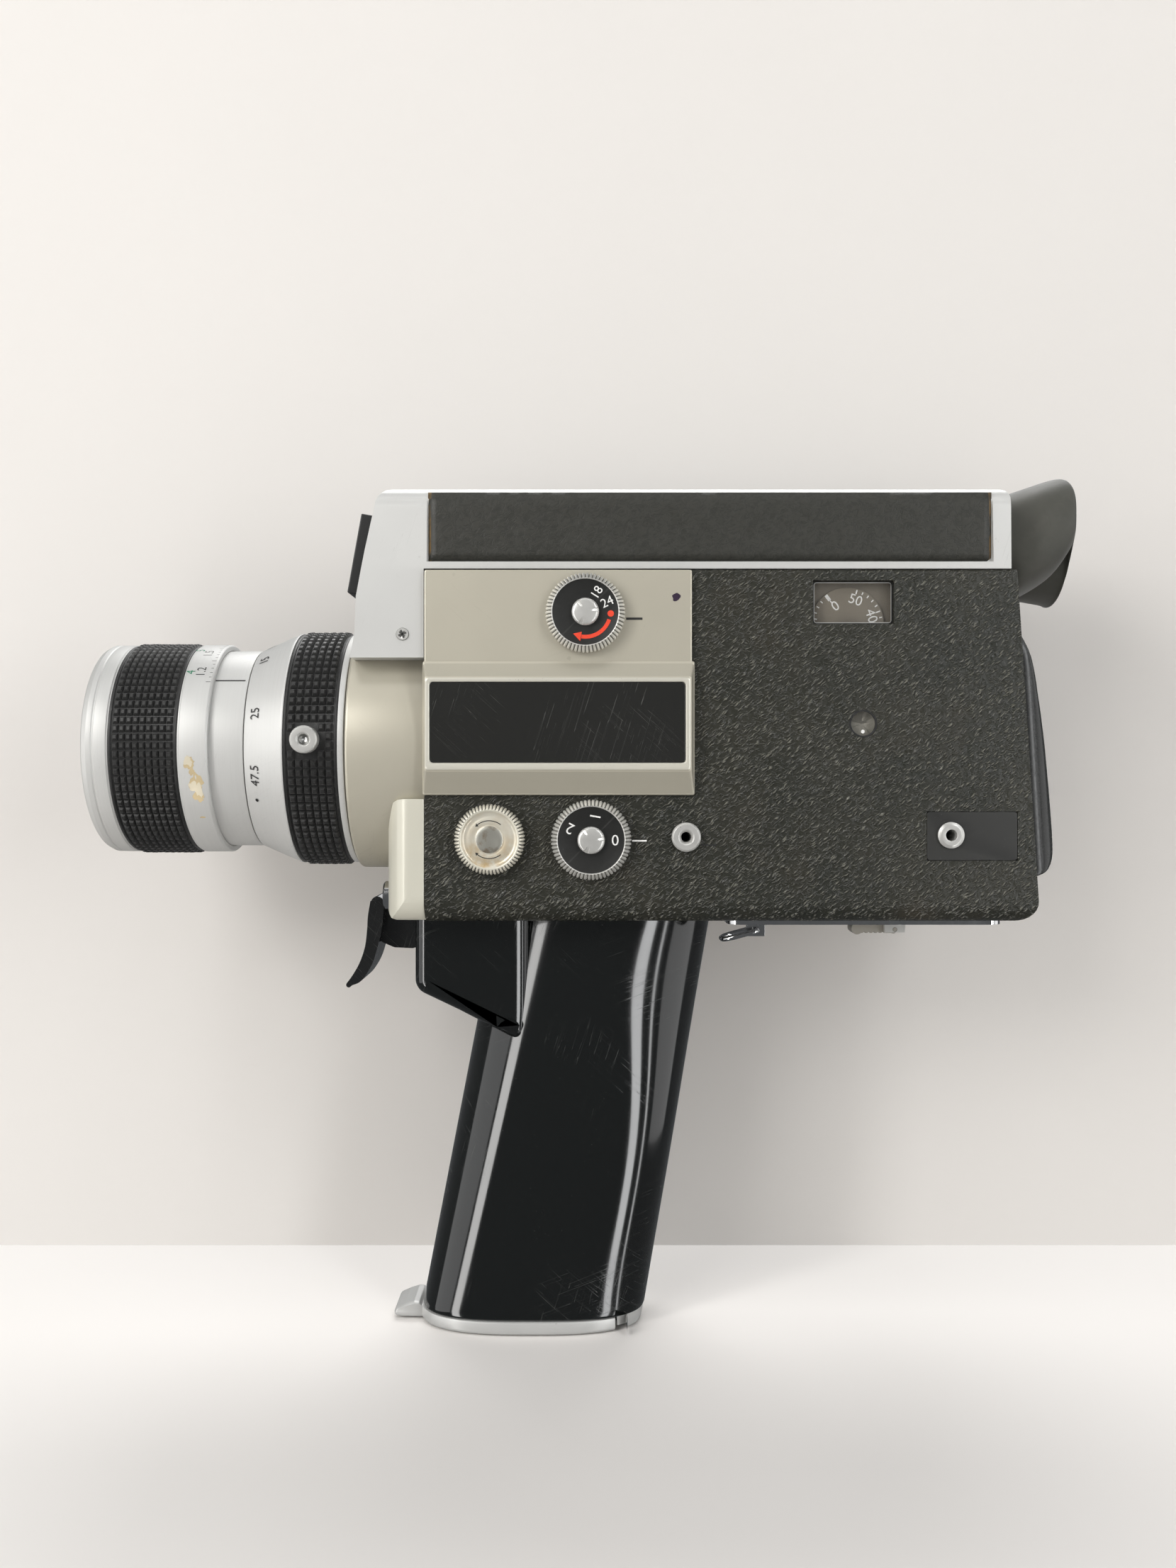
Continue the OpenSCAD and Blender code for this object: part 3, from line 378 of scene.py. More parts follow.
def glass_mat(name, tint=(0.94, 0.96, 0.96), rough=0.01, coat=None):
    m = Mat(name, tint, rough, 0.0, Transmission_Weight=1.0, IOR=1.5)
    m.rough(m.ramp(m.noise(140, 3, 0.6), [(0.45, rough), (0.85, rough + 0.06)]))
    m.bump(m.noise(300, 2), 0.00001, 0.05)
    if coat:
        m.p.inputs["Coat Weight"].default_value = 0.6
        m.p.inputs["Coat Tint"].default_value = (*coat, 1)
        m.p.inputs["Coat Roughness"].default_value = 0.02
    return m.m


def window_mat(name):
    """Clear plastic window: mostly see-through, faintly hazed."""
    m = Mat(name, (0.2, 0.2, 0.19), 0.05, 0.0, Alpha=0.10)
    haze = m.ramp(m.noise(160, 4, 0.6), [(0.45, 0.04), (0.8, 0.12)])
    m.rough(haze)
    sc_ = scratches(m, 2.0, 0.66)
    m.color(m.mix(m.math("MULTIPLY", sc_, 0.5), (0.18, 0.18, 0.17), (0.6, 0.6, 0.58)))
    m.bump(m.noise(300, 2), 0.00001, 0.05)
    return m.m


def print_mat(name, base, rough=0.55):
    """Printed or filled marks, a little worn."""
    m = Mat(name, base, rough, 0.0)
    w = m.ramp(m.noise(1500, 3, 0.7), [(0.3, 0.0), (0.7, 1.0)])
    m.color(m.mix(w, sc(base, 0.82), base))
    m.rough(m.math("ADD", m.math("MULTIPLY", w, 0.2), rough - 0.1))
    return m.m


M_CRACKLE = crackle_black()
M_LEATHER = leatherette_mat()
M_SILVER = metal_paint("silver_paint", (0.60, 0.60, 0.585), 0.40, 0.30)
# a darker copy of the champagne paint: painted shade for the slopes of the block on the side plate
M_CHAMP_SHADED = metal_paint("champagne_slope_painted_shade", (0.41, 0.385, 0.315), 0.38, 0.35)
# a paler copy of the champagne paint: painted highlight along the raised rim round the name plate
M_RIM_LIT = metal_paint("plate_rim", (0.66, 0.64, 0.56), 0.30, 0.3)
M_CHAMP = metal_paint("champagne_paint", (0.515, 0.485, 0.40), 0.38, 0.35)
M_PEARL = metal_paint("pearl_paint", (0.60, 0.585, 0.50), 0.32, 0.15)
M_GRIP = gloss_black()
M_PLATE = gloss_black("nameplate_black", (0.0165, 0.0165, 0.0150), 0.20, 1.6)
M_BLACK = matte_black("black_plastic")
M_BEZEL = matte_black("bezel_black", (0.012, 0.012, 0.012), 0.34)
M_DOOR = matte_black("door_black", (0.016, 0.0165, 0.0155), 0.26, 900, 0.00001)
M_INNER = matte_black("inner_black", (0.010, 0.010, 0.010), 0.6)
M_RUBBER = rubber_mat()
M_EYECUP = eyecup_mat()
M_LENS = turned_metal("lens_silver", (0.60, 0.60, 0.585), 0.42)
M_DIAL = turned_metal("dial_silver", (0.78, 0.77, 0.73), 0.30, "Y")
M_CAP = plain_metal("cap_nickel", (0.66, 0.655, 0.63), 0.30, 0.12, 0.5)
M_CHROME = plain_metal("chrome_trim", (0.72, 0.72, 0.72), 0.14)
M_STEEL = plain_metal("steel", (0.50, 0.50, 0.49), 0.28)
M_BRASS = plain_metal("brass", (0.62, 0.46, 0.20), 0.28)
M_ANOD = matte_black("black_anodised", (0.014, 0.014, 0.016), 0.32)
M_NYLON = matte_black("nylon", (0.60, 0.56, 0.44), 0.5)
M_KEY = metal_paint("key_grey", (0.33, 0.31, 0.27), 0.45, 0.25)
M_GLASS = window_mat("window_glass")
M_LENSGLASS = glass_mat("lens_glass", (0.86, 0.88, 0.97), 0.0, (0.55, 0.5, 0.95))
M_FACE = matte_black("dial_face_black", (0.0165, 0.0165, 0.0155), 0.36, 900, 0.00001)
# darker paint for the grooves between the ribs of the dials: painted shade in the grooves
M_GROOVE_SHADE = metal_paint("dial_groove_painted_shade", (0.30, 0.295, 0.27), 0.4, 0.3)
M_COUNTER = matte_black("counter_grey", (0.092, 0.079, 0.060), 0.5, 1200, 0.00001)
M_TAN = matte_black("old_glue", (0.50, 0.40, 0.235), 0.55, 500, 0.00004)
M_TAN2 = matte_black("old_glue_pale", (0.60, 0.545, 0.42), 0.5, 500, 0.00003)
# dark paint for the screw slots: painted shade
M_SLOT_SHADE = matte_black("slot_painted_shade", (0.05, 0.05, 0.046), 0.5)
M_WHITE = print_mat("print_white", (0.80, 0.80, 0.78))
M_RED = print_mat("print_red", (0.80, 0.055, 0.018))
M_GREEN = print_mat("print_green", (0.02, 0.20, 0.10))
M_INK = print_mat("print_black", (0.018, 0.018, 0.018), 0.5)


# ------------------------------------------------------------------ geometry helpers
def weld_copy(src, angle=1.2, weld=0.00001):
    """A clean copy of a CAD node's mesh: flat faces joined again, so that its edges can be rounded."""
    me = src.data.copy()
    me.materials.clear()
    bm = bmesh.new()
    bm.from_mesh(me)
    bmesh.ops.remove_doubles(bm, verts=bm.verts, dist=weld)
    bmesh.ops.dissolve_limit(bm, angle_limit=math.radians(angle), verts=bm.verts, edges=bm.edges)
    bmesh.ops.recalc_face_normals(bm, faces=bm.faces)
    for f in bm.faces:
        f.smooth = True
    bm.to_mesh(me)
    bm.free()
    return me


def finish_obj(name, me, mats, body, rep=(), slot=None, bevel=0.0, segs=3, angle=32, sharp=38):
    o = bpy.data.objects.new(name, me)
    bpy.context.scene.collection.objects.link(o)
    for m in mats if isinstance(mats, (list, tuple)) else [mats]:
        me.materials.append(m)
    me.shade_smooth()
    me.set_sharp_from_angle(angle=math.radians(sharp))
    if bevel:
        b = o.modifiers.new("bevel", "BEVEL")
        b.width = bevel * MM
        b.segments = segs
        b.limit_method = "ANGLE"
        b.angle_limit = math.radians(angle)
        b.use_clamp_overlap = True
        b.miter_outer = "MITER_ARC"
        b.harden_normals = False
        w = o.modifiers.new("normals", "WEIGHTED_NORMAL")
        w.keep_sharp = False
        w.weight = 100
        me.shade_smooth()
        for ed in me.edges:
            ed.use_edge_sharp = False
    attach(o, body)
    if rep:
        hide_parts(*([rep] if isinstance(rep, str) else rep))
    return o


def body_name(node):
    return N[node]["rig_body"]


def part(node, mat, slot, bevel=0.2, segs=2, angle=30, weld=0.00001, name=None, diss=1.2):
    """The CAD node with rounded edges and its finish."""
    me = weld_copy(N[node], diss, weld)
    return finish_obj(name or node + "_v", me, mat, body_name(node), node, slot, bevel, segs, angle)


def mesh(name, vs, fs, mats, body, rep=(), slot=None, bevel=0.0, mi=None, **kw):
    """Vertices in millimetres."""
    me = bpy.data.meshes.new(name)
    me.from_pydata([tuple(c * MM for c in v) for v in vs], [], [list(f) for f in fs])
    if mi:
        me.polygons.foreach_set("material_index", mi)
    me.update()
    bm = bmesh.new()
    bm.from_mesh(me)
    bmesh.ops.recalc_face_normals(bm, faces=bm.faces)
    bm.to_mesh(me)
    bm.free()
    return finish_obj(name, me, mats, body, rep, slot, bevel, **kw)


class Geo:
    """Collects several shapes into one mesh."""

    def __init__(self):
        self.v, self.f, self.m = [], [], []

    def add(self, vs, fs, mi=0):
        k = len(self.v)
        self.v += [tuple(v) for v in vs]
        for f in fs:
            self.f.append([i + k for i in f])
            self.m.append(mi)
        return self

    def make(self, name, mats, body, rep=(), slot=None, **kw):
        return mesh(name, self.v, self.f, mats, body, rep, slot, mi=self.m, **kw)


def place(axis, c):
    """Maps (radial u, radial v, along w) in a local frame to millimetres."""
    if axis == "X":
        return lambda u, v, w: (c[0] + w, c[1] + u, c[2] + v)
    if axis == "Y":      # w runs toward -Y, out of the left side
        return lambda u, v, w: (c[0] + u, c[1] - w, c[2] + v)
    return lambda u, v, w: (c[0] + u, c[1] + v, c[2] + w)


def revolve(prof, axis="X", c=(0, 0, LZ), n=160, closed=True, wob=None):
    """prof is a list of (r, w). Returns vertices and faces of the turned shape."""
    P = place(axis, c)
    vs, fs = [], []
    k = len(prof)
    for i in range(n):
        a = 2 * math.pi * i / n
        for j, (r, w) in enumerate(prof):
            rr = wob(r, w, a, j) if wob else r
            vs.append(P(rr * math.cos(a), rr * math.sin(a), w))
    for i in range(n):
        i2 = (i + 1) % n
        for j in range(k if closed else k - 1):
            j2 = (j + 1) % k
            fs.append((i * k + j, i2 * k + j, i2 * k + j2, i * k + j2))
    return vs, fs


def rnd(pts, r=0.15, n=3):
    """Rounds the corners of a closed profile; r may be a list."""
    out = []
    m = len(pts)
    for i in range(m):
        rr = r[i] if isinstance(r, (list, tuple)) else r
        p0, p1, p2 = Vector(pts[i - 1]), Vector(pts[i]), Vector(pts[(i + 1) % m])
        a, b = p0 - p1, p2 - p1
        la, lb = a.length, b.length
        if rr <= 0 or la < 1e-6 or lb < 1e-6:
            out.append(tuple(p1))
            continue
        a.normalize()
        b.normalize()
        ang = a.angle(b)
        if ang > math.pi - 0.02:
            out.append(tuple(p1))
            continue
        d = min(rr / math.tan(ang / 2), la * 0.48, lb * 0.48)
        s, t = p1 + a * d, p1 + b * d
        for q in range(n + 1):
            f = q / n
            x = s * (1 - f) ** 2 + p1 * 2 * f * (1 - f) + t * f ** 2
            out.append(tuple(x))
    return out


def arc(cx, cy, r, a0, a1, n):
    return [(cx + r * math.cos(math.radians(a0 + (a1 - a0) * i / n)), cy + r * math.sin(math.radians(a0 + (a1 - a0) * i / n))) for i in range(n + 1)]


def rrect(x0, y0, x1, y1, r, n=8):
    return arc(x1 - r, y1 - r, r, 0, 90, n) + arc(x0 + r, y1 - r, r, 90, 180, n) + arc(x0 + r, y0 + r, r, 180, 270, n) + arc(x1 - r, y0 + r, r, 270, 360, n)


def extrude(pts, axis, a, b, c=(0, 0, 0)):
    """A closed outline swept from w=a to w=b."""
    P = place(axis, c)
    k = len(pts)
    vs = [P(u, v, a) for u, v in pts] + [P(u, v, b) for u, v in pts]
    fs = [(i, (i + 1) % k, k + (i + 1) % k, k + i) for i in range(k)]
    fs += [tuple(range(k))[::-1], tuple(range(k, 2 * k))]
    return vs, fs


def loft(rings, cap0=True, cap1=True):
    """Rings of equal length joined one after another."""
    k = len(rings[0])
    vs = [v for r in rings for v in r]
    fs = []
    for s in range(len(rings) - 1):
        for i in range(k):
            j = (i + 1) % k
            fs.append((s * k + i, s * k + j, (s + 1) * k + j, (s + 1) * k + i))
    if cap0:
        fs.append(tuple(range(k))[::-1])
    if cap1:
        fs.append(tuple(range((len(rings) - 1) * k, len(rings) * k)))
    return vs, fs


def cut(o, cutter):
    """Takes the solid of a Geo, in millimetres, out of a finished piece."""
    me = bpy.data.meshes.new("cutter")
    me.from_pydata([tuple(c * MM for c in v) for v in cutter.v], [], cutter.f)
    bm = bmesh.new()
    bm.from_mesh(me)
    bmesh.ops.recalc_face_normals(bm, faces=bm.faces)
    bm.to_mesh(me)
    bm.free()
    t = bpy.data.objects.new("cutter", me)
    bpy.context.scene.collection.objects.link(t)
    kept = list(o.modifiers)
    for md in kept:
        md.show_viewport = False
    b = o.modifiers.new("cut", "BOOLEAN")
    b.operation = "DIFFERENCE"
    b.solver = "EXACT"
    b.object = t
    dg = bpy.context.evaluated_depsgraph_get()
    new = bpy.data.meshes.new_from_object(o.evaluated_get(dg))
    o.modifiers.remove(b)
    bm = bmesh.new()
    bm.from_mesh(new)
    for f in bm.faces:
        f.smooth = True
    for e in bm.edges:
        if len(e.link_faces) == 2 and e.calc_face_angle(0) > math.radians(38):
            e.smooth = False
    bm.to_mesh(new)
    bm.free()
    o.data = new
    for md in kept:
        md.show_viewport = True
    bpy.data.objects.remove(t)
    return o


def cube_geo(x0, x1, y0, y1, z0, z1):
    g_ = Geo()
    P = [(x, y, z) for x in (x0, x1) for y in (y0, y1) for z in (z0, z1)]
    g_.add(P, [(0, 1, 3, 2), (4, 6, 7, 5), (0, 4, 5, 1), (2, 3, 7, 6), (0, 2, 6, 4), (1, 5, 7, 3)])
    return g_


_glyphs = {}


def glyph(ch, res=4):
    """Flat outline mesh of a numeral from the built-in font: 1 unit tall, centred."""
    if ch not in _glyphs:
        cu = bpy.data.curves.new("glyph", "FONT")
        cu.body = ch
        cu.resolution_u = res
        ob = bpy.data.objects.new("glyph", cu)
        bpy.context.scene.collection.objects.link(ob)
        dg = bpy.context.evaluated_depsgraph_get()
        me = bpy.data.meshes.new_from_object(ob.evaluated_get(dg))
        bm = bmesh.new()
        bm.from_mesh(me)
        bmesh.ops.triangulate(bm, faces=bm.faces)
        bmesh.ops.subdivide_edges(bm, edges=bm.edges, cuts=1)
        bm.verts.ensure_lookup_table()
        vs = [(v.co.x, v.co.y) for v in bm.verts]
        fs = [tuple(v.index for v in f.verts) for f in bm.faces]
        bm.free()
        bpy.data.objects.remove(ob)
        bpy.data.meshes.remove(me)
        x0, x1 = min(v[0] for v in vs), max(v[0] for v in vs)
        y0, y1 = min(v[1] for v in vs), max(v[1] for v in vs)
        h = y1 - y0
        vs = [((x - (x0 + x1) / 2) / h, (y - (y0 + y1) / 2) / h) for x, y in vs]
        _glyphs[ch] = (vs, fs)
    return _glyphs[ch]


def stroke(pts, w):
    """A flat ribbon of width w along 2-D points."""
    vs, fs = [], []
    m = len(pts)
    for i, p in enumerate(pts):
        a = Vector(pts[max(0, i - 1)])
        b = Vector(pts[min(m - 1, i + 1)])
        d = (b - a).normalized()
        nrm = Vector((-d.y, d.x)) * w / 2
        vs += [(p[0] + nrm.x, p[1] + nrm.y), (p[0] - nrm.x, p[1] - nrm.y)]
    for i in range(m - 1):
        fs.append((2 * i, 2 * i + 1, 2 * i + 3, 2 * i + 2))
    return vs, fs


def put2d(vf, scale=1.0, rot=0.0, at=(0, 0), sx=1.0):
    vs, fs = vf
    c, s = math.cos(math.radians(rot)), math.sin(math.radians(rot))
    out = []
    for x, y in vs:
        x, y = x * scale * sx, y * scale
        out.append((x * c - y * s + at[0], x * s + y * c + at[1]))
    return out, fs


def disc2d(r, at=(0, 0), n=24):
    return [(at[0] + r * math.cos(2 * math.pi * i / n), at[1] + r * math.sin(2 * math.pi * i / n)) for i in range(n)], [tuple(range(n))]


def on_side(vf, y, thick=0.02):
    """Flat marks standing just off the left side at height y (negative)."""
    vs, fs = vf
    return [(x, y - thick, z) for x, z in vs], fs


def on_drum(vf, x0, ang, R, zc=LZ, yc=0.0):
    """Flat marks wrapped on a drum about X: the mark's own x runs along the lens to the rear, its y runs up round the drum.
    ang is measured from the left side (-Y) upward, in degrees."""
    vs, fs = vf
    out = []
    for x, y in vs:
        a = math.radians(ang) + y / R
        out.append((x0 + x, yc - R * math.cos(a), zc + R * math.sin(a)))
    return out, fs


def link_light(o):
    return o


# ------------------------------------------------------------------ body
def joined(name, nodes, mat, slot, bevel, segs=3, angle=30):
    """Several CAD nodes that read as one casting, united and with rounded edges."""
    tmp = []
    for n in nodes:
        o = bpy.data.objects.new("tmp_" + n, weld_copy(N[n]))
        bpy.context.scene.collection.objects.link(o)
        tmp.append(o)
    for o in tmp[1:]:
        b = tmp[0].modifiers.new("u", "BOOLEAN")
        b.operation = "UNION"
        b.solver = "EXACT"
        b.object = o
    dg = bpy.context.evaluated_depsgraph_get()
    me = bpy.data.meshes.new_from_object(tmp[0].evaluated_get(dg))
    for o in tmp:
        bpy.data.objects.remove(o)
    me.materials.clear()
    bm = bmesh.new()
    bm.from_mesh(me)
    bmesh.ops.remove_doubles(bm, verts=bm.verts, dist=0.00001)
    bmesh.ops.dissolve_limit(bm, angle_limit=math.radians(1.2), verts=bm.verts, edges=bm.edges)
    for f in bm.faces:
        f.smooth = True
    bm.to_mesh(me)
    bm.free()
    return finish_obj(name, me, mat, body_name(nodes[0]), list(nodes), slot, bevel, segs, angle)


joined("casing_left", ["left_shell", "left_cover"], M_CRACKLE, "body_black", 0.45)
part("right_shell", M_CRACKLE, "body_black", 0.45, 3)
part("top_housing", M_SILVER, "silver_paint", 0.28, 3)
part("nameplate", M_PLATE, "gloss_black", 0.13, 2)
part("corner_cover", M_PEARL, "pearl", 0.7, 4)
part("meter_bezel", M_BEZEL, "black_plastic", 0.35, 3)
part("meter_window", M_GLASS, "window_glass", 0.1, 2)
part("meter_movement", M_BRASS, "instrument_brass", 0.15, 2)
part("release_socket", M_CHROME, "chrome_trim", 0.0)
part("side_windows", M_GLASS, "window_glass", 0.12, 2)
part("remote_plate", M_FACE, "black_plastic", 0.12, 2)
part("bottom_plate", M_CHROME, "chrome_trim", 0.25, 2)
part("latch_disc", M_CAP, "nickel", 0.2, 2)
part("latch_key", M_KEY, "key_grey", 0.25, 2)
part("housing_screws", M_CAP, "nickel", 0.12, 2)
part("tripod_bush", M_CAP, "nickel", 0.15, 2)
part("trigger_switch", M_BLACK, "black_plastic", 0.2, 2)
part("switch_plunger", M_NYLON, "switch_nylon", 0.1, 2)
part("film_chamber", M_INNER, "black_plastic", 0.25, 2)
part("film_gate", M_STEEL, "steel", 0.15, 2)
part("drive_motor", M_STEEL, "steel", 0.3, 2)
part("motor_pinion", M_BRASS, "contact_brass", 0.05, 1)
part("shutter", M_ANOD, "black_metal", 0.05, 1)
part("takeup_spindle", M_NYLON, "switch_nylon", 0.15, 2)
part("finder_optics", M_GLASS, "lens_glass", 0.15, 2)
part("finder_tube", M_ANOD, "black_metal", 0.15, 2)
part("exposure_shaft", M_STEEL, "steel", 0.1, 2)
part("relay_lens", M_LENSGLASS, "lens_glass", 0.05, 1)
part("variator_lens", M_LENSGLASS, "lens_glass", 0.05, 1)
part("variator_cell", M_ANOD, "black_metal", 0.1, 1)
part("helicoid_ring", M_BRASS, "contact_brass", 0.1, 1)

# leatherette: a softly padded strip let into each side of the housing
for side in (-1, 1):
    nx, nz = 120, 18
    x0, x1, z0, z1 = -23.35, 105.05, 180.62, 196.45
    vs, fs = [], []

    for i in range(nx + 1):
        for j in range(nz + 1):
            u, v = i / nx, j / nz
            x = x0 + (x1 - x0) * u
            z = z0 + (z1 - z0) * v
            dx, dz = min(x - x0, x1 - x), min(z - z0, z1 - z)
            r = 1.5
            e_ = 1.0
            d = min(dx, dz)
            if dx < r and dz < r:
                d = r - math.hypot(r - dx, r - dz)
            d = max(d, 0)
            e_ = math.sqrt(max(0.0, 1 - (1 - min(d / r, 1)) ** 2))
            # the housing's shoulder turns in near the top
            top = 28.55
            if z > 193.0:
                top = 28.55 - (5.0 - math.sqrt(max(0.0, 25 - (z - 193.0) ** 2)))
            wave = 0.10 * mnoise.noise(Vector((x * 0.09, z * 0.16, side * 3.0))) + 0.05 * mnoise.noise(Vector((x * 0.4, z * 0.4, 9.0)))
            y = 27.3 + (top - 27.3) * e_ + wave * e_
            vs.append((x, side * y, z))
    W = nz + 1
    for i in range(nx):
        for j in range(nz):
            fs.append((i * W + j, (i + 1) * W + j, (i + 1) * W + j + 1, i * W + j + 1))
    # closed at the back
    k = len(vs)
    vs += [(x0, side * 27.2, z0), (x1, side * 27.2, z0), (x1, side * 27.2, z1), (x0, side * 27.2, z1)]
    fs += [(k, k + 1, k + 2, k + 3)]
    b0 = [i * W for i in range(nx + 1)]
    b1 = [i * W + nz for i in range(nx + 1)]
    l0 = list(range(W))
    l1 = [nx * W + j for j in range(W)]
    fs += [tuple(b0 + [k + 1, k]), tuple(b1 + [k + 2, k + 3]), tuple(l0 + [k + 3, k]), tuple(l1 + [k + 2, k + 1])]
    mesh("leatherette_left" if side < 0 else "leatherette_right", vs, fs, M_LEATHER, "housing", "leatherette_panels", "leatherette", sharp=60)

# side plate: flat above, a bevelled block with mitred ends below, and a raised rim round the name plate
def rr_loop(x0, z0, x1, z1, r, y):
    return [(x, y, z) for x, z in rrect(x0, z0, x1, z1, r, 4)]


g = Geo()
g.add(*loft([rr_loop(-23.9, 157.0, 36.6, 178.4, 0.4, -28.6), rr_loop(-23.9, 157.0, 36.6, 178.4, 0.4, -29.85), rr_loop(-23.8, 157.1, 36.5, 178.3, 0.45, -30.03), rr_loop(-23.62, 157.28, 36.32, 178.12, 0.4, -30.1)]))
foot = [rr_loop(-24.3, 127.5, 37.2, 157.75, 0.5, -28.6), rr_loop(-24.3, 127.5, 37.2, 157.75, 0.5, -29.9), rr_loop(-24.22, 127.6, 37.12, 157.65, 0.5, -30.2), rr_loop(-24.05, 127.95, 36.95, 157.2, 0.5, -30.42)]
head = [rr_loop(-23.65, 132.75, 36.35, 154.2, 0.7, -31.98), rr_loop(-23.5, 133.1, 36.15, 153.95, 0.7, -32.1), rr_loop(-22.5, 134.75, 35.0, 152.95, 0.8, -32.1), rr_loop(-22.5, 134.75, 35.0, 152.95, 0.8, -31.6)]
g.add(*loft(foot, True, False))
# painted shade: the slope round the block takes the darker copy of the champagne paint
g.add(*loft([foot[-1], head[0]], False, False), 1)
g.add(*loft(head, False, True))
g.make("front_plate_v", [M_CHAMP, M_CHAMP_SHADED], "housing", "front_plate", "champagne", sharp=9)

# raised rim round the name plate; its paler paint is a painted highlight standing in for the light along its edge
g = Geo()
g.add(*loft([rr_loop(-23.5, 133.15, 36.15, 153.9, 0.7, -32.0), rr_loop(-23.5, 133.15, 36.15, 153.9, 0.7, -32.22), rr_loop(-23.38, 133.28, 36.02, 153.78, 0.7, -32.36), rr_loop(-23.15, 133.5, 35.8, 153.55, 0.7, -32.42),
             rr_loop(-22.75, 134.35, 35.3, 153.2, 0.75, -32.40), rr_loop(-22.55, 134.62, 35.08, 153.0, 0.8, -32.30), rr_loop(-22.48, 134.75, 35.0, 152.93, 0.8, -32.1), rr_loop(-22.48, 134.75, 35.0, 152.93, 0.8, -31.8)], False, False))
g.make("nameplate_rim", M_RIM_LIT, "housing", slot="champagne", sharp=30)

# slots of the small cross head screw on the cheek, drawn as flat dark marks: painted shade standing in for the shade
# in the slots
g = Geo()
for t in (20, 110):
    c_, s_ = math.cos(math.radians(t)), math.sin(math.radians(t))
    P4 = [(-0.95, -0.2), (0.95, -0.2), (0.95, 0.2), (-0.95, 0.2)]
    g.add([(-29 + u * c_ - v * s_, -29.02, 164 + u * s_ + v * c_) for u, v in P4], [(0, 1, 2, 3)])
g.make("cheek_screw_slots", M_SLOT_SHADE, "housing")

# drum that carries the lens
g = Geo()
g.add(*revolve(rnd([(22.6, -24.1), (29.3, -24.1), (29.3, -42.2), (25.4, -42.2), (25.4, -28), (22.6, -28)], [0, 0.2, 0.7, 0.25, 0.1, 0.1], 4), "X", n=200))
g.make("lens_mount_v", M_CHAMP, "housing", "lens_mount", "champagne", sharp=35)


# sockets, each a turned fitting with a fine edge
def fitting(name, x, z, prof, node, mat, slot, r=0.12):
    g = Geo()
    g.add(*revolve(rnd(prof, r, 3), "Y", (x, 0, z), n=72))
    return g.make(name, mat, "housing", node, slot, sharp=35)


fitting("remote_jack_v", 95.3, 118.4, [(1.3, 29.9), (2.3, 29.9), (3.0, 29.6), (3.0, 29.05), (2.35, 29.05), (2.35, 22), (3.3, 22), (3.3, 18), (1.3, 18)], "remote_jack", M_CAP, "nickel")
fitting("aux_socket_v", 35.3, 118.0, [(1.15, 29.7), (1.5, 30.35), (1.8, 30.6), (2.9, 30.6), (3.3, 30.2), (3.3, 29.05), (2.25, 29.05), (2.25, 22), (3.2, 22), (3.2, 19), (1.15, 19)], "aux_socket", M_CAP, "nickel")


# ------------------------------------------------------------------ grip
LEAN = math.radians(10.6)


def grip_pt(x, y, zl):
    """Local grip coordinates to millimetres in the row frame."""
    return (-0.8 + x * math.cos(LEAN) + zl * math.sin(LEAN), y, -x * math.sin(LEAN) + zl * math.cos(LEAN))


def grip_at(x, y, z):
    """Point of the grip section above local (x, y) at height z."""
    zl = (z + x * math.sin(LEAN)) / math.cos(LEAN)
    return (-0.8 + x * math.cos(LEAN) + zl * math.sin(LEAN), y, z)


def super_sec(a, b, p, n=120, front=0.0):
    out = []
    for i in range(n):
        t = 2 * math.pi * i / n
        c, s = math.cos(t), math.sin(t)
        x = a * math.copysign(abs(c) ** (2 / p), c)
        y = b * math.copysign(abs(s) ** (2 / p), s)
        out.append((x, y))
    return out


def swell(z):
    """A little fuller in the middle of the hand than at the two ends."""
    t = (z - 3.3) / 95.1
    return 0.965 + 0.035 * math.sin(math.pi * min(max(t, 0), 1)) ** 0.8


def lean(z):
    """The side toward the palm swells and thins again on its way down."""
    t = min(max((z - 3.3) / 95.1, 0), 1)
    return 0.34 * math.sin(2 * math.pi * (t - 0.12)) * math.sin(math.pi * t) ** 0.5


def hand_sec(a, b, p, z, n=160):
    """Section with its own roundness on the right, so the long highlights bend."""
    out = []
    for (x, y), (x2, y2) in zip(super_sec(a, b, p, n), super_sec(a, b, max(1.85, p + lean(z)), n)):
        k_ = min(max((x / a + 0.15) / 0.6, 0), 1)
        k_ = k_ * k_ * (3 - 2 * k_)
        out.append((x + (x2 - x) * k_, y + (y2 - y) * k_))
    return out


def power(z):
    """The section is a boxy oval at the foot and a rounder one higher up."""
    t = min(max((z - 3.3) / 95.1, 0), 1)
    return 3.0 - 0.95 * t ** 0.8


rings = []
levels = [3.3, 3.45, 3.9, 5, 8] + [8 + (96.5 - 8) * i / 36 for i in range(1, 37)] + [98.4]
for z in levels:
    k = swell(z)
    inset = 0.35 if z < 3.4 else (0.12 if z < 3.6 else 0)
    t = min(max((z - 3.3) / 95.1, 0), 1)
    sec = hand_sec(26.7 - 0.9 * t - inset, 17.5 * k - inset, power(z), z)
    rings.append([grip_at(x - 0.5 * t, y, z) for x, y in sec])
for z in [98.4, 94.6, 60, 30, 10, 3.3]:
    k = swell(z)
    sec = super_sec(24.8, 17.5 * k - 1.9, power(z), 160)
    if z == 98.4:
        sec = super_sec(14, 8, 3, 160)
    rings.append([grip_at(x, y, z) for x, y in sec])
vs, fs = loft(rings, False, False)
k = 160
L = len(rings)
for i in range(k):
    j = (i + 1) % k
    fs.append(((L - 1) * k + i, (L - 1) * k + j, j, i))
mesh("grip_v", vs, fs, M_GRIP, "housing", ["grip_left", "grip_right"], "grip_black", sharp=50)

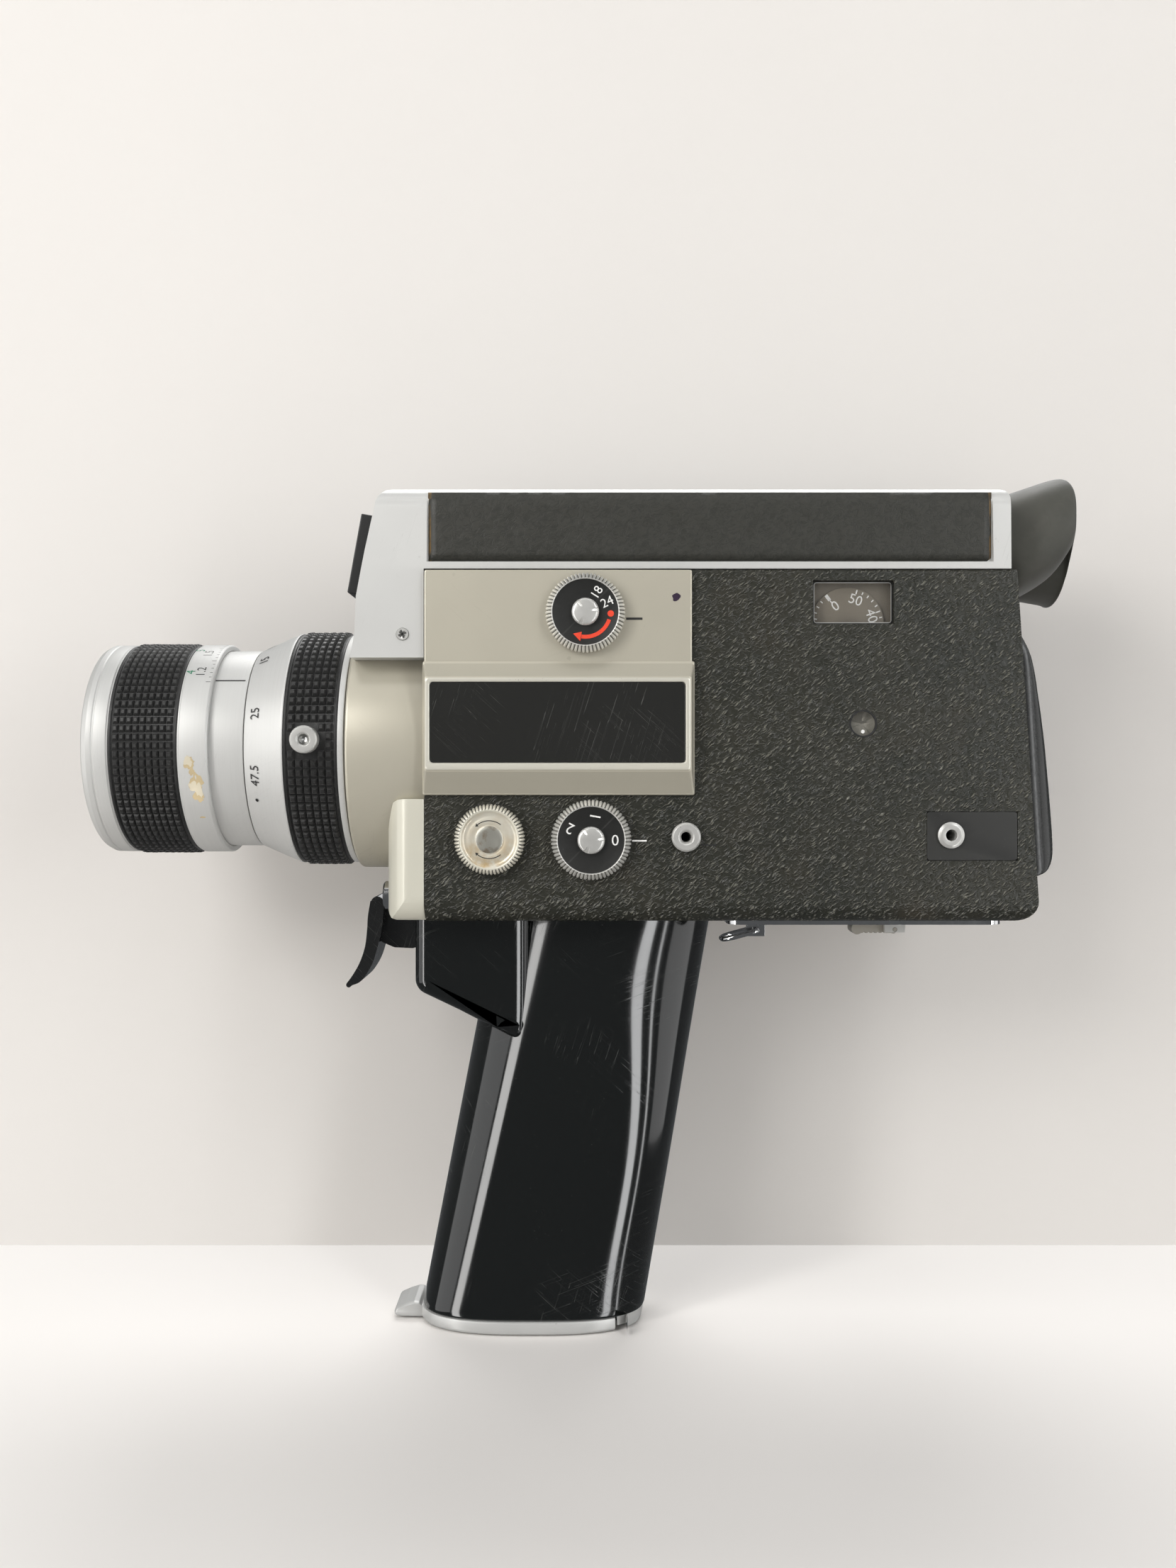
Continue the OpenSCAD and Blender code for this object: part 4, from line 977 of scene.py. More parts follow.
# ears of the battery cover and the lip behind it
g = Geo()
for y in (-8.1, 4.7):
    P = [(20.4 - 1.5 * math.sin(math.radians(a)), 1.55 - 1.5 * math.cos(math.radians(a))) for a in range(0, 181, 15)] + [(24, 3.3), (24, 1.9)]
    g.add(*extrude(P, "Y", -y, -(y + 3.4)))
g.make("grip_ears", M_GRIP, "housing", slot="grip_black", sharp=40)
g = Geo()
rear_foot = []
for z in (0.25, 3.45):
    rear_foot.append([(max(px, 22.4), py, pz) for px, py, pz in (grip_at(x, y, z) for x, y in super_sec(26.5, 16.6, 3.0, 160))])
g.add(*loft(rear_foot))
# the foot closes up to the hinge line beside the hinge
for sy in (-1, 1):
    sq = [p_ for p_ in (grip_at(x, y, 1.8) for x, y in super_sec(26.5, 16.6, 3.0, 160)) if 20.0 < p_[0] < 22.7 and p_[1] * sy > 0]
    sq.sort(key=lambda p_: p_[0])
    ol = [(20.0, 8.4 * sy), (20.0, sq[0][1])] + [(p_[0], p_[1]) for p_ in sq] + [(22.7, sq[-1][1]), (22.7, 8.4 * sy)]
    # from z 1.2, clear of the edge of the cover as it swings
    g.add(*loft([[(x, y, 1.2) for x, y in ol], [(x, y, 3.45) for x, y in ol]]))
g.make("grip_foot", M_SILVER, "housing", slot="silver_paint", sharp=40)

# battery contacts, drawn in a little so that they stay inside the oval section
me = weld_copy(N["battery_contacts"])
for v in me.vertices:
    cx = 0.0098 if v.co.z > 0.04 else -0.0008
    v.co.x = cx + (v.co.x - cx) * 0.84
    v.co.y *= 0.80
finish_obj("battery_contacts_v", me, M_BRASS, "housing", "battery_contacts", "contact_brass", 0.1, 2)

# trigger guard: flows into the side of the grip
gl = [(-28, 98.4, 1), (-28, 84.5, 1)] + [(x, z, 1) for x, z in arc(-24.2, 83.6, 3.8, 185, 246, 7)] + [(-17.5, 76.2, 1), (-10.5, 72.6, 1)]
gl += [(x, z, 1 + 1.3 * i / 8) for i, (x, z) in enumerate(arc(-3.4, 71.8, 2.6, 243, 350, 8))] + [(-0.7, 76, 2.4), (-0.7, 84, 2.4), (-0.7, 92, 2.4), (-0.7, 98.4, 2.4)]
gpts = [(x, z) for x, z, w in gl]
gw = [w for x, z, w in gl]


def inset_poly(pts, d, wt):
    out = []
    m = len(pts)
    cx, cz = sum(p[0] for p in pts) / m, sum(p[1] for p in pts) / m
    for i in range(m):
        a, b, c = Vector(pts[i - 1]), Vector(pts[i]), Vector(pts[(i + 1) % m])
        n1 = (b - a).normalized()
        n2 = (c - b).normalized()
        n1 = Vector((n1.y, -n1.x))
        n2 = Vector((n2.y, -n2.x))
        n_ = (n1 + n2)
        if n_.length < 1e-6:
            n_ = n1
        n_.normalize()
        k_ = 1 / max(0.5, n_.dot(n1))
        d_ = d * wt[i]
        p_ = b + n_ * d_ * k_
        q = b - n_ * d_ * k_
        # inward is the side nearer the middle
        out.append(tuple(p_ if (p_ - Vector((cx, cz))).length < (q - Vector((cx, cz))).length else q))
    return out


rings = []
RG = 3.3
hw = 16.2
for t in range(0, 13):
    a = math.pi / 2 * t / 12
    rings.append((-(hw - RG) - RG * math.cos(a), RG * (1 - math.sin(a))))
prof = rings + [(-y, d) for y, d in rings[::-1]]
loops = []
for y, d in prof:
    pts = inset_poly(gpts, d, gw) if d > 1e-6 else gpts
    # the top edge stays level under the body
    loops.append([(x, y, min(z, 98.4) if d < 1e-6 else (98.4 if abs(gz - 98.4) < 1e-6 else z)) for (x, z), (gx, gz) in zip(pts, gpts)])
vs, fs = loft(loops)
o = mesh("trigger_guard_v", vs, fs, M_GRIP, "housing", "trigger_guard", "grip_black", sharp=42)
cut(o, cube_geo(-31, -22, -3.5, 3.5, 86.8, 102))

# battery cover with its finger beak
cz = 1.6
sec = [(x, y) for x, y in super_sec(26.9, 17.1, 2.75, 160)]
out = [(max(-28.3, px), py) for px, py, pz in (grip_at(x, y, cz) for x, y in sec)]
order = [p for p in out if p[0] < 19.6]
top_half = [p for p in order if p[1] >= 0]
bot_half = [p for p in order if p[1] < 0]
top_half.sort(key=lambda p: -p[0])
bot_half.sort(key=lambda p: p[0])
yt = top_half[0][1]
yb = bot_half[-1][1]
poly = [(19.6, yt)] + top_half + bot_half + [(19.6, yb)]
loops = []
for z, d in ((0.0, 0.7), (0.12, 0.32), (0.4, 0.08), (0.8, 0.0), (2.6, 0.0), (2.95, 0.1), (3.1, 0.35)):
    loops.append([(x - d if x > 19.5 else x * (1 - d / 27) , y * (1 - d / 17), z) for x, y in poly])
vs, fs = loft(loops)
o = mesh("battery_cover_plate", vs, fs, M_SILVER, "battery_cover", "battery_cover", "silver_paint", sharp=40)
g = Geo()
g.add(*revolve([(0.001, -2), (6.1, -2), (6.1, 6), (0.001, 6)], "Z", (0, 0, 0), n=64))
cut(o, g)
g = Geo()
beak = [(-34.25, 1.2), (-33.9, 0.45), (-32.6, 0.1), (-26, 0.0), (-20, 0.05), (-20, 2.9), (-27.4, 3.1), (-28.1, 3.7), (-29.3, 3.85), (-31.6, 3.1), (-33.8, 2.1)]
beak = rnd(beak, 0.6, 3)
loops = []
for y, d in ((-6.1, 0.9), (-5.9, 0.42), (-5.4, 0.1), (-4.8, 0.0), (4.8, 0.0), (5.4, 0.1), (5.9, 0.42), (6.1, 0.9)):
    cxx, czz = -27, 2.0
    loops.append([(cxx + (x - cxx) * (1 - d / 9), y, czz + (z - czz) * (1 - d / 4)) for x, z in beak])
g.add(*loft(loops))
g.add(*extrude([(20.4 + 1.5 * math.cos(math.radians(a)), 1.55 + 1.5 * math.sin(math.radians(a))) for a in range(0, 360, 12)], "Y", -4.4, 4.4))
g.add(*extrude([(20.4 + 0.64 * math.cos(math.radians(a)), 1.55 + 0.64 * math.sin(math.radians(a))) for a in range(0, 360, 24)], "Y", -8.0, 8.0))
cb = cube_geo(-25.2, -23.8, -3.5, 3.5, 2.9, 5)
g.add(cb.v, cb.f)
g.make("battery_cover_beak", M_SILVER, "battery_cover", slot="silver_paint", sharp=35)


# ------------------------------------------------------------------ lens
def ring_obj(name, prof, mats, body, rep, slot, r=0.15, n=220, nn=3, c=(0, 0, LZ), wob=None):
    g = Geo()
    g.add(*revolve(rnd(prof, r, nn), "X", c, n=n, wob=wob))
    return g.make(name, mats, body, rep, slot, sharp=35)


ring_obj("lens_barrel_v", [(19.5, -89.6), (21.2, -89.6), (21.2, -79.2), (24.0, -79.2), (24.0, -66.5), (22.2, -66.5), (22.2, -30), (22.55, -30), (22.55, -21.5), (12.1, -21.5), (12.1, -37), (19.5, -37)], M_LENS, "housing", "lens_barrel", "lens_silver")
# focus ring: front rim with fine turned steps, seat of the rubber and the scale
ring_obj("focus_ring_v", [(22.6, -103.8), (24.3, -103.8), (24.75, -103.45), (25.05, -102.9), (25.38, -102.3), (25.38, -101.2), (25.2, -101.0), (25.2, -100.75), (25.4, -100.55),
    (25.4, -97.75), (25.1, -97.55), (25.1, -97.3), (24.6, -97.3), (24.6, -81.3), (25.25, -81.3), (25.25, -81.0), (25.5, -80.8), (25.5, -74.75), (25.2, -74.35), (24.1, -74.35), (24.1, -82.6), (22.7, -82.6),
    (22.7, -92.6), (18.6, -92.6), (18.6, -93.4), (20.0, -95.6), (20.0, -97.0), (20.5, -97.2), (20.5, -97.9), (21.0, -98.1), (21.0, -98.9), (21.6, -99.1), (21.6, -100.0), (22.1, -100.2), (22.1, -101.2), (22.6, -101.4)],
    M_LENS, "focus", "focus_ring", "lens_silver", 0.07)
# black inner bezel of the front lens
ring_obj("front_bezel", [(19.95, -99.9), (19.95, -95.7), (18.8, -95.0), (18.2, -97.2), (19.3, -99.6)], M_ANOD, "focus", (), "black_metal", 0.08)
g = Geo()
g.add(*revolve([(0.001, -100.6), (4, -100.52), (7, -100.2), (10, -99.75), (13, -99.0), (16, -97.95), (18.4, -96.9), (18.9, -96.4), (18.9, -95.7), (18.5, -93.5), (14, -92.3), (10, -91.6), (5, -91.1), (0.001, -90.9)], "X", n=96))
g.make("front_lens_v", M_LENSGLASS, "focus", "front_lens", "lens_glass", sharp=40)
ring_obj("zoom_ring_v", [(22.26, -66.2), (24.15, -66.2), (24.3, -65.9), (28.15, -57.0), (28.2, -56.75), (28.2, -56.5), (27.0, -56.5), (27.0, -44.0), (28.1, -44.0), (28.1, -42.6), (22.26, -42.6)], M_LENS, "zoom", "zoom_ring", "lens_silver", [0.1, 0.15, 0.2, 0.2, 0.1, 0.05, 0, 0, 0.1, 0.15, 0.1])


def studs(name, x0, x1, r_in, r_base, r_top, cols, rows, mat, body, node, hole=None, skew=0.5):
    """Rubber grip: rows of square pyramids round the ring on a plain sleeve."""
    g = Geo()
    g.add(*revolve(rnd([(r_in, x0), (r_base + 0.25, x0), (r_base + 0.25, x0 + 0.55), (r_base, x0 + 0.7), (r_base, x1 - 0.7), (r_base + 0.25, x1 - 0.55), (r_base + 0.25, x1), (r_in, x1)], 0.1, 2), "X", n=200))
    a0, a1 = x0 + 0.95, x1 - 0.95
    pc = (a1 - a0) / cols
    pr = 2 * math.pi / rows
    rnd_ = random.Random(11)
    for i in range(rows):
        for j in range(cols):
            xc = a0 + (j + 0.5) * pc
            tc = (i + (skew if j % 2 else 0.0)) * pr
            if hole:
                hx, hz, hr = hole
                if math.cos(tc) > 0 and abs(xc - hx) < hr + pc * 0.6 and abs(LZ + r_base * math.sin(tc) - hz) < hr + 1.1 and math.hypot(xc - hx, LZ + r_base * math.sin(tc) - hz) < hr + 0.75:
                    continue
            vs = []
            wear = 1 - 0.10 * rnd_.random()
            for (rr, ku) in ((r_base - 0.05, 0.47), (r_base + (r_top - r_base) * 0.55, 0.36), (r_base + (r_top - r_base) * wear, 0.20)):
                for sx, st in ((-1, -1), (1, -1), (1, 1), (-1, 1)):
                    a = tc + st * ku * pr
                    vs.append((xc + sx * ku * pc, -rr * math.cos(a), LZ + rr * math.sin(a)))
            fs = []
            for s in range(2):
                for q in range(4):
                    q2 = (q + 1) % 4
                    fs.append((s * 4 + q, s * 4 + q2, s * 4 + 4 + q2, s * 4 + 4 + q))
            fs.append((8, 9, 10, 11))
            g.add(vs, fs)
    return g.make(name, mat, body, node, "ring_rubber", sharp=40)


studs("focus_rubber_v", -97.2, -81.4, 24.62, 25.05, 25.80, 9, 80, M_RUBBER, "focus", "focus_rubber", skew=0.0)
studs("zoom_rubber_v", -56.4, -44.1, 27.05, 27.7, 28.65, 6, 84, M_RUBBER, "zoom", "zoom_rubber", (-51.2, 140.1, 3.3), skew=0.0)

g = Geo()
g.add(*revolve(rnd([(1.25, 30.25), (1.6, 30.6), (2.85, 30.6), (3.15, 30.3), (3.15, 27.05), (1.95, 27.05), (1.95, 23.0), (1.25, 23.0)], 0.1, 3), "Y", (-51.2, 0, 140.1), n=72))
g.make("zoom_lever_socket_v", M_CAP, "zoom", "zoom_lever_socket", "nickel", sharp=35)

# slotted grub screw in the rim of the focus ring
a = math.radians(math.degrees(math.asin((133.6 - LZ) / 25.4)))
g = Geo()
g.add(*revolve(rnd([(0.001, 25.30), (0.85, 25.30), (0.85, 24.9), (0.001, 24.9)], 0.05, 2), "Y", (0, 0, 0), n=32))
# painted shade: the slot is a thin dark bar laid on the head, in place of the shade inside a cut slot
g.add(*extrude([(-0.8, -0.12), (0.8, -0.12), (0.8, 0.12), (-0.8, 0.12)], "Y", 25.2, 25.35), 1)
c_, s_ = math.cos(a), math.sin(a)
g.v = [(x - 99.1, y * c_ + z * s_, -y * s_ + z * c_ + LZ) for x, y, z in g.v]
g.make("focus_grub_screw", [M_STEEL, M_INNER], "focus", slot="steel", sharp=35)

# engraved and filled marks on the lens
SC = 25.52


def num(txt, size, x, ang, R, rot=90, sx=0.9):
    return on_drum(put2d(glyph(txt), size, rot, (0, 0), sx), x, ang, R)


g = Geo()
gg = Geo()
for val, ang in (("1.2", 44), ("1.5", 62), ("2", 84), ("3", 105), ("5", 124), ("10", 142)):
    g.add(*num(val, 2.1, -77.6, ang, SC))
for val, ang in (("4", 43), ("5", 66), ("7", 88), ("10", 110), ("15", 129)):
    gg.add(*num(val, 2.1, -80.0, ang, SC))
for i in range(34):
    ang = 36 + i * 3.4
    ln = 1.1 if i % 5 == 0 else 0.6
    g.add(*on_drum(([(0, -0.07), (ln, -0.07), (ln, 0.07), (0, 0.07)], [(0, 1, 2, 3)]), -75.9 + (1.1 - ln), ang, SC))
g.make("focus_scale_black", M_INK, "focus")
gg.make("focus_scale_green", M_GREEN, "focus")
# index line on the fixed barrel
g = Geo()
ix = [(-0.0, -0.19), (7.0, -0.19), (7.0, 0.19), (0.0, 0.19)]
g.add(*on_drum((ix, [(0, 1, 2, 3)]), -74.2, 40, 24.03))
g.make("focus_index", M_INK, "housing")


def on_cone(vf, x0, ang):
    """Marks on the taper of the zoom ring; the mark's x runs down the taper."""
    vs, fs = vf
    out = []
    for x, y in vs:
        xx = x0 + x * 0.92
        R = 24.3 + (28.2 - 24.3) * (xx + 66.2) / 9.3 + 0.05
        a = math.radians(ang) + y / R
        out.append((xx - 0.02, -R * math.cos(a), LZ + R * math.sin(a)))
    return out, fs


g = Geo()
for val, ang in (("9.5", 92), ("11", 74), ("15", 54.3), ("25", 17), ("47.5", -15.9), ("7", 112)):
    vs, fs = put2d(glyph(val), 2.3, 90, (0, 0), 0.9)
    g.add(*on_cone((vs, fs), -63.6, ang))
g.add(*on_cone(disc2d(0.42), -63.6, -29.6))
g.make("zoom_scale_black", M_INK, "zoom")

# bottom of the lever socket
g = Geo()
g.add(*revolve([(0.001, 28.9), (0.35, 29.05), (0.62, 29.15), (0.9, 28.95), (1.26, 28.9), (1.26, 28.2), (0.001, 28.2)], "Y", (-51.2, 0, 140.1), n=48))
g.make("zoom_socket_floor", M_STEEL, "zoom", slot="steel", sharp=35)


# dried flakes of old glue on the focus ring
def flake(x, ang, rx, ra, seed, k=26):
    out = []
    for i in range(k):
        t = 2 * math.pi * i / k
        q = 0.72 + 0.42 * mnoise.noise(Vector((math.cos(t) * 1.4 + seed, math.sin(t) * 1.4, seed * 1.7))) + 0.22 * mnoise.noise(Vector((math.cos(t) * 5, math.sin(t) * 5, seed)))
        out.append((rx * q * math.cos(t), ra * q * math.sin(t)))
    mid = (sum(p_[0] for p_ in out) / k, sum(p_[1] for p_ in out) / k)
    vs = [mid] + out
    return on_drum((vs, [(0, 1 + i, 1 + (i + 1) % k) for i in range(k)]), x, ang, SC + 0.005)


g = Geo()
g2 = Geo()
for x, ang, rx, ra, seed in ((-78.3, -9.0, 1.7, 2.1, 1.0), (-77.0, -19.5, 2.5, 3.0, 2.3), (-76.9, -27.0, 1.7, 2.2, 4.1), (-77.9, -13.5, 0.8, 1.2, 5.2), (-76.9, -40.5, 0.9, 0.5, 7.7)):
    g.add(*flake(x, ang, rx, ra, seed))
for x, ang, rx, ra, seed in ((-78.7, -8.0, 1.4, 1.6, 9.0), (-77.8, -21.5, 1.6, 1.5, 12.3), (-76.6, -24.0, 1.2, 2.4, 14.1)):
    g2.add(*flake(x, ang, rx, ra, seed))
g2.v = [(x, y * 1.0006, LZ + (z - LZ) * 1.0006) for x, y, z in g2.v]
g.make("glue_flakes", M_TAN, "focus")
g2.make("glue_flakes_pale", M_TAN2, "focus")


# ------------------------------------------------------------------ dials on the left side
def ribbed(name, c, prof, n_ribs, depth, mats, body, node, slot, face=None, sub=6, lean=0.0):
    """A turned knob whose rim carries radial ribs. prof rows are (r, w, rib share)."""
    n = n_ribs * sub
    P = place("Y", (c[0], 0, c[1]))
    vs, fs, mi = [], [], []
    k = len(prof)
    for i in range(n):
        t = i / sub
        f = t - math.floor(t)
        # rounded ridge with a narrow groove
        ridge = abs(math.cos(math.pi * f)) ** 0.7
        for r, w, share in prof:
            a = 2 * math.pi * i / n
            rr = r - depth * share * (1 - ridge)
            vs.append(P(rr * math.cos(a), rr * math.sin(a), w - (0.22 * (1 - ridge) * share if share < 1 else 0)))
    for i in range(n):
        i2 = (i + 1) % n
        for j in range(k - 1):
            fs.append((i * k + j, i2 * k + j, i2 * k + j + 1, i * k + j + 1))
            # painted shade: faces deep in the grooves take the third, darker material, standing in for the shade in
            # them
            low = abs(math.cos(math.pi * ((i + 0.5) / sub % 1))) < 0.42 and min(prof[j][2], prof[j + 1][2]) > 0.5 and len(mats) > 2
            mi.append(1 if face and j >= face else (2 if low else 0))
    fs.append(tuple(i * k + k - 1 for i in range(n)))
    mi.append(1 if face else 0)
    fs.append(tuple(i * k for i in range(n))[::-1])
    mi.append(0)
    return mesh(name, vs, fs, mats, body, node, slot, mi=mi, sharp=50)


def cap(name, c, w0, w1, body, node):
    """Domed screw cap with three small notches for a spanner."""
    P = place("Y", (c[0], 0, c[1]))
    n = 96
    prof = [(0.0, w1 + 0.06), (1.0, w1 + 0.045), (1.8, w1 + 0.0), (2.35, w1 - 0.06), (2.62, w1 - 0.13), (2.82, w1 - 0.25), (2.98, w1 - 0.42), (3.05, w1 - 0.62), (3.05, w0)]
    vs, fs = [], []
    k = len(prof)
    notches = [128, 248, 8]
    for i in range(n):
        deg = 360 * i / n
        for j, (r, w) in enumerate(prof):
            cut = 0
            for q in notches:
                dd = abs((deg - q + 180) % 360 - 180)
                if dd < 9 and 3 <= j <= 6:
                    cut = 0.34
            vs.append(P(r * math.cos(math.radians(deg)), r * math.sin(math.radians(deg)), w - cut))
    for i in range(n):
        i2 = (i + 1) % n
        for j in range(k - 1):
            fs.append((i * k + j, i2 * k + j, i2 * k + j + 1, i * k + j + 1))
    return mesh(name, vs, fs, M_CAP, body, node, "nickel", sharp=40)


def dial(name, cname, c, R, wb, wt, body, node, capnode, cw0, cw1):
    prof = [(2.5, wb - 8, 0), (2.5, wb, 0), (R - 0.6, wb, 0), (R - 0.1, wb + 0.15, 0.7), (R, wb + 0.45, 1.0), (R, wb + 1.35, 1.0), (R - 0.15, wb + 1.75, 1.0), (R - 0.62, wt - 0.62, 0.95), (R - 1.22, wt - 0.10, 0.8), (R - 1.32, wt, 0.15),
            (R - 1.48, wt, 0), (R - 1.58, wt - 0.1, 0), (R - 1.62, wt - 0.30, 0), (R - 1.72, wt - 0.34, 0), (2.0, wt - 0.34, 0)]
    ribbed(name, c, prof, 62, 0.50, [M_DIAL, M_FACE, M_GROOVE_SHADE], body, node, "dial_silver", face=12)
    cap(cname, c, cw0, cw1, body, capnode)


def face_marks(name, items, c, y, body, mat):
    g = Geo()
    for vf in items:
        vs, fs = vf
        g.add(*on_side(([(c[0] + a, c[1] + b) for a, b in vs], fs), y, 0.012))
    return g.make(name, mat, body)


def polar(r, deg):
    return (r * math.cos(math.radians(deg)), r * math.sin(math.radians(deg)))


# filming speed
SD = (12.5, 168.5)
dial("speed_dial_v", "speed_cap_v", SD, 9.0, 30.4, 33.6, "speed_dial", "speed_dial", "speed_dial_cap", 33.2, 34.6)
yf = -33.27
face_marks("speed_numbers", [put2d(glyph("18"), 2.0, 58, polar(5.25, 60)), put2d(glyph("24"), 2.0, 25, polar(5.35, 25))], SD, yf, "speed_dial", M_WHITE)
face_marks("speed_single_dot", [disc2d(0.72, polar(5.7, -4))], SD, yf, "speed_dial", M_RED)
face_marks("speed_slow_arc", [stroke([polar(5.6, a) for a in range(-18, -102, -3)], 0.85), ([polar(4.55, -100), polar(5.6, -119), polar(6.65, -100)], [(0, 1, 2)])], SD, yf, "speed_dial", M_RED)
# main switch: generic 0, 1, 2 in place of its words
SW = (13.8, 117.4)
dial("main_switch_v", "switch_cap_v", SW, 9.1, 29.3, 32.5, "main_switch", "main_switch", "main_switch_cap", 32.1, 33.5)
yf = -32.17
face_marks("switch_numbers", [put2d(glyph("0"), 2.4, 0, polar(5.4, 0)), put2d(glyph("1"), 2.4, 80, polar(5.4, 80)), put2d(glyph("2"), 2.4, 152, polar(5.4, 152))], SW, yf, "main_switch", M_WHITE)

# exposure knob: cream white teeth, a dished ring with an aged gold tone and a grey centre
KN = (-9.1, 117.5)


def knob_face_mat():
    m = Mat("knob_face", (0.62, 0.57, 0.43), 0.34, 0.35)
    sep = m.t.nodes.new("ShaderNodeSeparateXYZ")
    m.t.links.new(m.tc.outputs["Object"], sep.inputs[0])
    # ageing is strongest round the lower half of the knob
    low = m.math("MULTIPLY", m.math("SUBTRACT", 0.1185, sep.outputs[2]), 150, True)
    st = m.math("MULTIPLY", m.ramp(m.noise(330, 4, 0.6), [(0.38, 0.0), (0.62, 1.0)]), m.math("ADD", m.math("MULTIPLY", low, 0.75), 0.22))
    c = m.mix(m.math("MULTIPLY", st, 0.75), (0.64, 0.61, 0.52), (0.45, 0.27, 0.055))
    lines = m.noise(1.0, 2, 0.6, cs=(30, 5200, 30))
    m.color(c)
    m.rough(m.math("ADD", m.math("MULTIPLY", m.noise(300, 3), 0.2), 0.25))
    m.bump(lines, 0.000008, 0.35)
    return m.m


M_KNOBFACE = knob_face_mat()
M_KNOB = metal_paint("knob_cream", (0.70, 0.67, 0.57), 0.30, 0.35)
R, wb, wt = 8.0, 29.5, 32.59
prof = [(1.15, wb, 0), (R - 0.5, wb, 0), (R - 0.08, wb + 0.12, 0.8), (R, wb + 0.4, 1), (R, wb + 1.7, 1), (R - 0.35, wt - 0.5, 1.0), (R - 0.95, wt - 0.05, 0.75), (R - 1.15, wt, 0.1), (R - 1.45, wt, 0), (R - 1.65, wt - 0.12, 0), (R - 1.9, wt - 0.45, 0), (R - 2.35, wt - 0.68, 0), (5.05, wt - 0.70, 0),
        (4.85, wt - 0.62, 0), (3.6, wt - 0.60, 0), (3.45, wt - 0.66, 0), (3.3, wt - 0.68, 0), (3.15, wt - 0.60, 0), (2.0, wt - 0.56, 0), (0.6, wt - 0.55, 0)]
ribbed("exposure_knob_v", KN, prof, 58, 0.62, [M_KNOB, M_KNOBFACE, M_GROOVE_SHADE], "exposure_knob", "exposure_knob", "dial_silver", face=9)
yf = -(wt - 0.61)


def arrow_arc(r, a0, a1, w=0.2):
    pts = [polar(r, a0 + (a1 - a0) * i / 12) for i in range(13)]
    d = 1 if a1 > a0 else -1
    tip = polar(r, a1 + d * 9)
    return [stroke(pts, w), ([polar(r + 0.42, a1), tip, polar(r - 0.42, a1)], [(0, 1, 2)])]


face_marks("knob_arrows", arrow_arc(4.25, 52, 128) + arrow_arc(4.25, -52, -128), KN, yf, "exposure_knob", M_INK)


def grey_disc_mat():
    m = Mat("knob_centre", (0.42, 0.41, 0.36), 0.36, 0.7)
    st = m.ramp(m.noise(420, 3, 0.6, 0.5), [(0.48, 0.0), (0.66, 1.0)])
    m.color(m.mix(m.math("MULTIPLY", st, 0.6), (0.44, 0.43, 0.38), (0.20, 0.12, 0.045)))
    m.rough(m.math("ADD", m.math("MULTIPLY", m.noise(500, 3), 0.25), 0.26))
    m.bump(m.noise(1.0, 2, 0.6, cs=(30, 5200, 30)), 0.000008, 0.35)
    return m.m


g = Geo()
g.add(*revolve([(0.001, wt - 0.50), (2.2, wt - 0.50), (2.95, wt - 0.53), (3.1, wt - 0.62), (3.1, wt - 0.8), (0.001, wt - 0.8)], "Y", (KN[0], 0, KN[1]), n=72))
g.make("knob_centre_disc", grey_disc_mat(), "exposure_knob", slot="dial_silver", sharp=35)

# index lines beside the dials and the engraved line by the small socket
g = Geo()
g.add(*on_side(([(21.7, 167.05), (25.4, 167.05), (25.4, 167.6), (21.7, 167.6)], [(0, 1, 2, 3)]), -30.105))
g.make("speed_index", M_INK, "housing")
g = Geo()
g.add(*on_side(([(23.1, 116.95), (26.4, 116.95), (26.4, 117.32), (23.1, 117.32)], [(0, 1, 2, 3)]), -29.01))
g.make("switch_index", M_WHITE, "housing")
g = Geo()
g.add(*on_side(([(38.5, 116.0), (42.3, 116.0), (42.3, 116.3), (38.5, 116.3)], [(0, 1, 2, 3)]), -29.01))
g.make("socket_index", M_INK, "housing")
g = Geo()
blot = [(33.0 + (0.92 + 0.13 * math.sin(3 * a_ * 0.3927 + 1) + 0.1 * math.sin(5 * a_ * 0.3927)) * math.cos(a_ * 0.3927), 172.2 + (0.92 + 0.16 * math.sin(2 * a_ * 0.3927)) * math.sin(a_ * 0.3927)) for a_ in range(16)]
g.add(*on_side((blot, [tuple(range(16))]), -30.115))
g.make("ink_spot", matte_black("dried_ink", (0.028, 0.016, 0.034), 0.35), "housing")

# ------------------------------------------------------------------ counter behind its window
CD = (72.4, 166.6)
g = Geo()
g.add(*revolve(rnd([(0.001, 26.3), (8.35, 26.3), (8.35, 25.75), (1.2, 25.75), (1.2, 18.2), (0.001, 18.2)], [0, 0.06, 0.06, 0, 0, 0], 2), "Y", (CD[0], 0, CD[1]), n=96))
g.make("counter_dial_v", M_COUNTER, "counter_dial", "counter_dial", "counter_grey", sharp=35)
items = []
for i in range(34):
    a = 74 - 10.5 * i
    if i in (29, 30, 31, 32, 33):
        continue
    big = i % 5 == 0
    items.append(stroke([polar(7.05 if big else 7.4, a), polar(8.05, a)], 0.30 if big else 0.26))
for i, val in enumerate(("50", "40", "30", "20", "10")):
    a = 71 - 52.5 * i
    items.append(put2d(glyph(val), 2.25, a - 90, polar(5.85, a)))
items.append(put2d(glyph("0"), 2.25, 33, polar(5.0, 124)))
items.append(stroke([polar(6.7, 127), polar(8.2, 127)], 0.75))
items.append(stroke([polar(6.0, 126.5), polar(6.9, 127)], 0.28))
face_marks("counter_numbers", items, CD, -26.31, "counter_dial", M_WHITE)
# the plate round the dial, in the same colour
g = Geo()
op = rrect(63.5, 165.8, 83.1, 176.7, 0.4, 3)
g.add(*extrude(op, "Y", 25.3, 25.6))
g.make("counter_ground", M_COUNTER, "housing", slot="counter_grey", sharp=35)
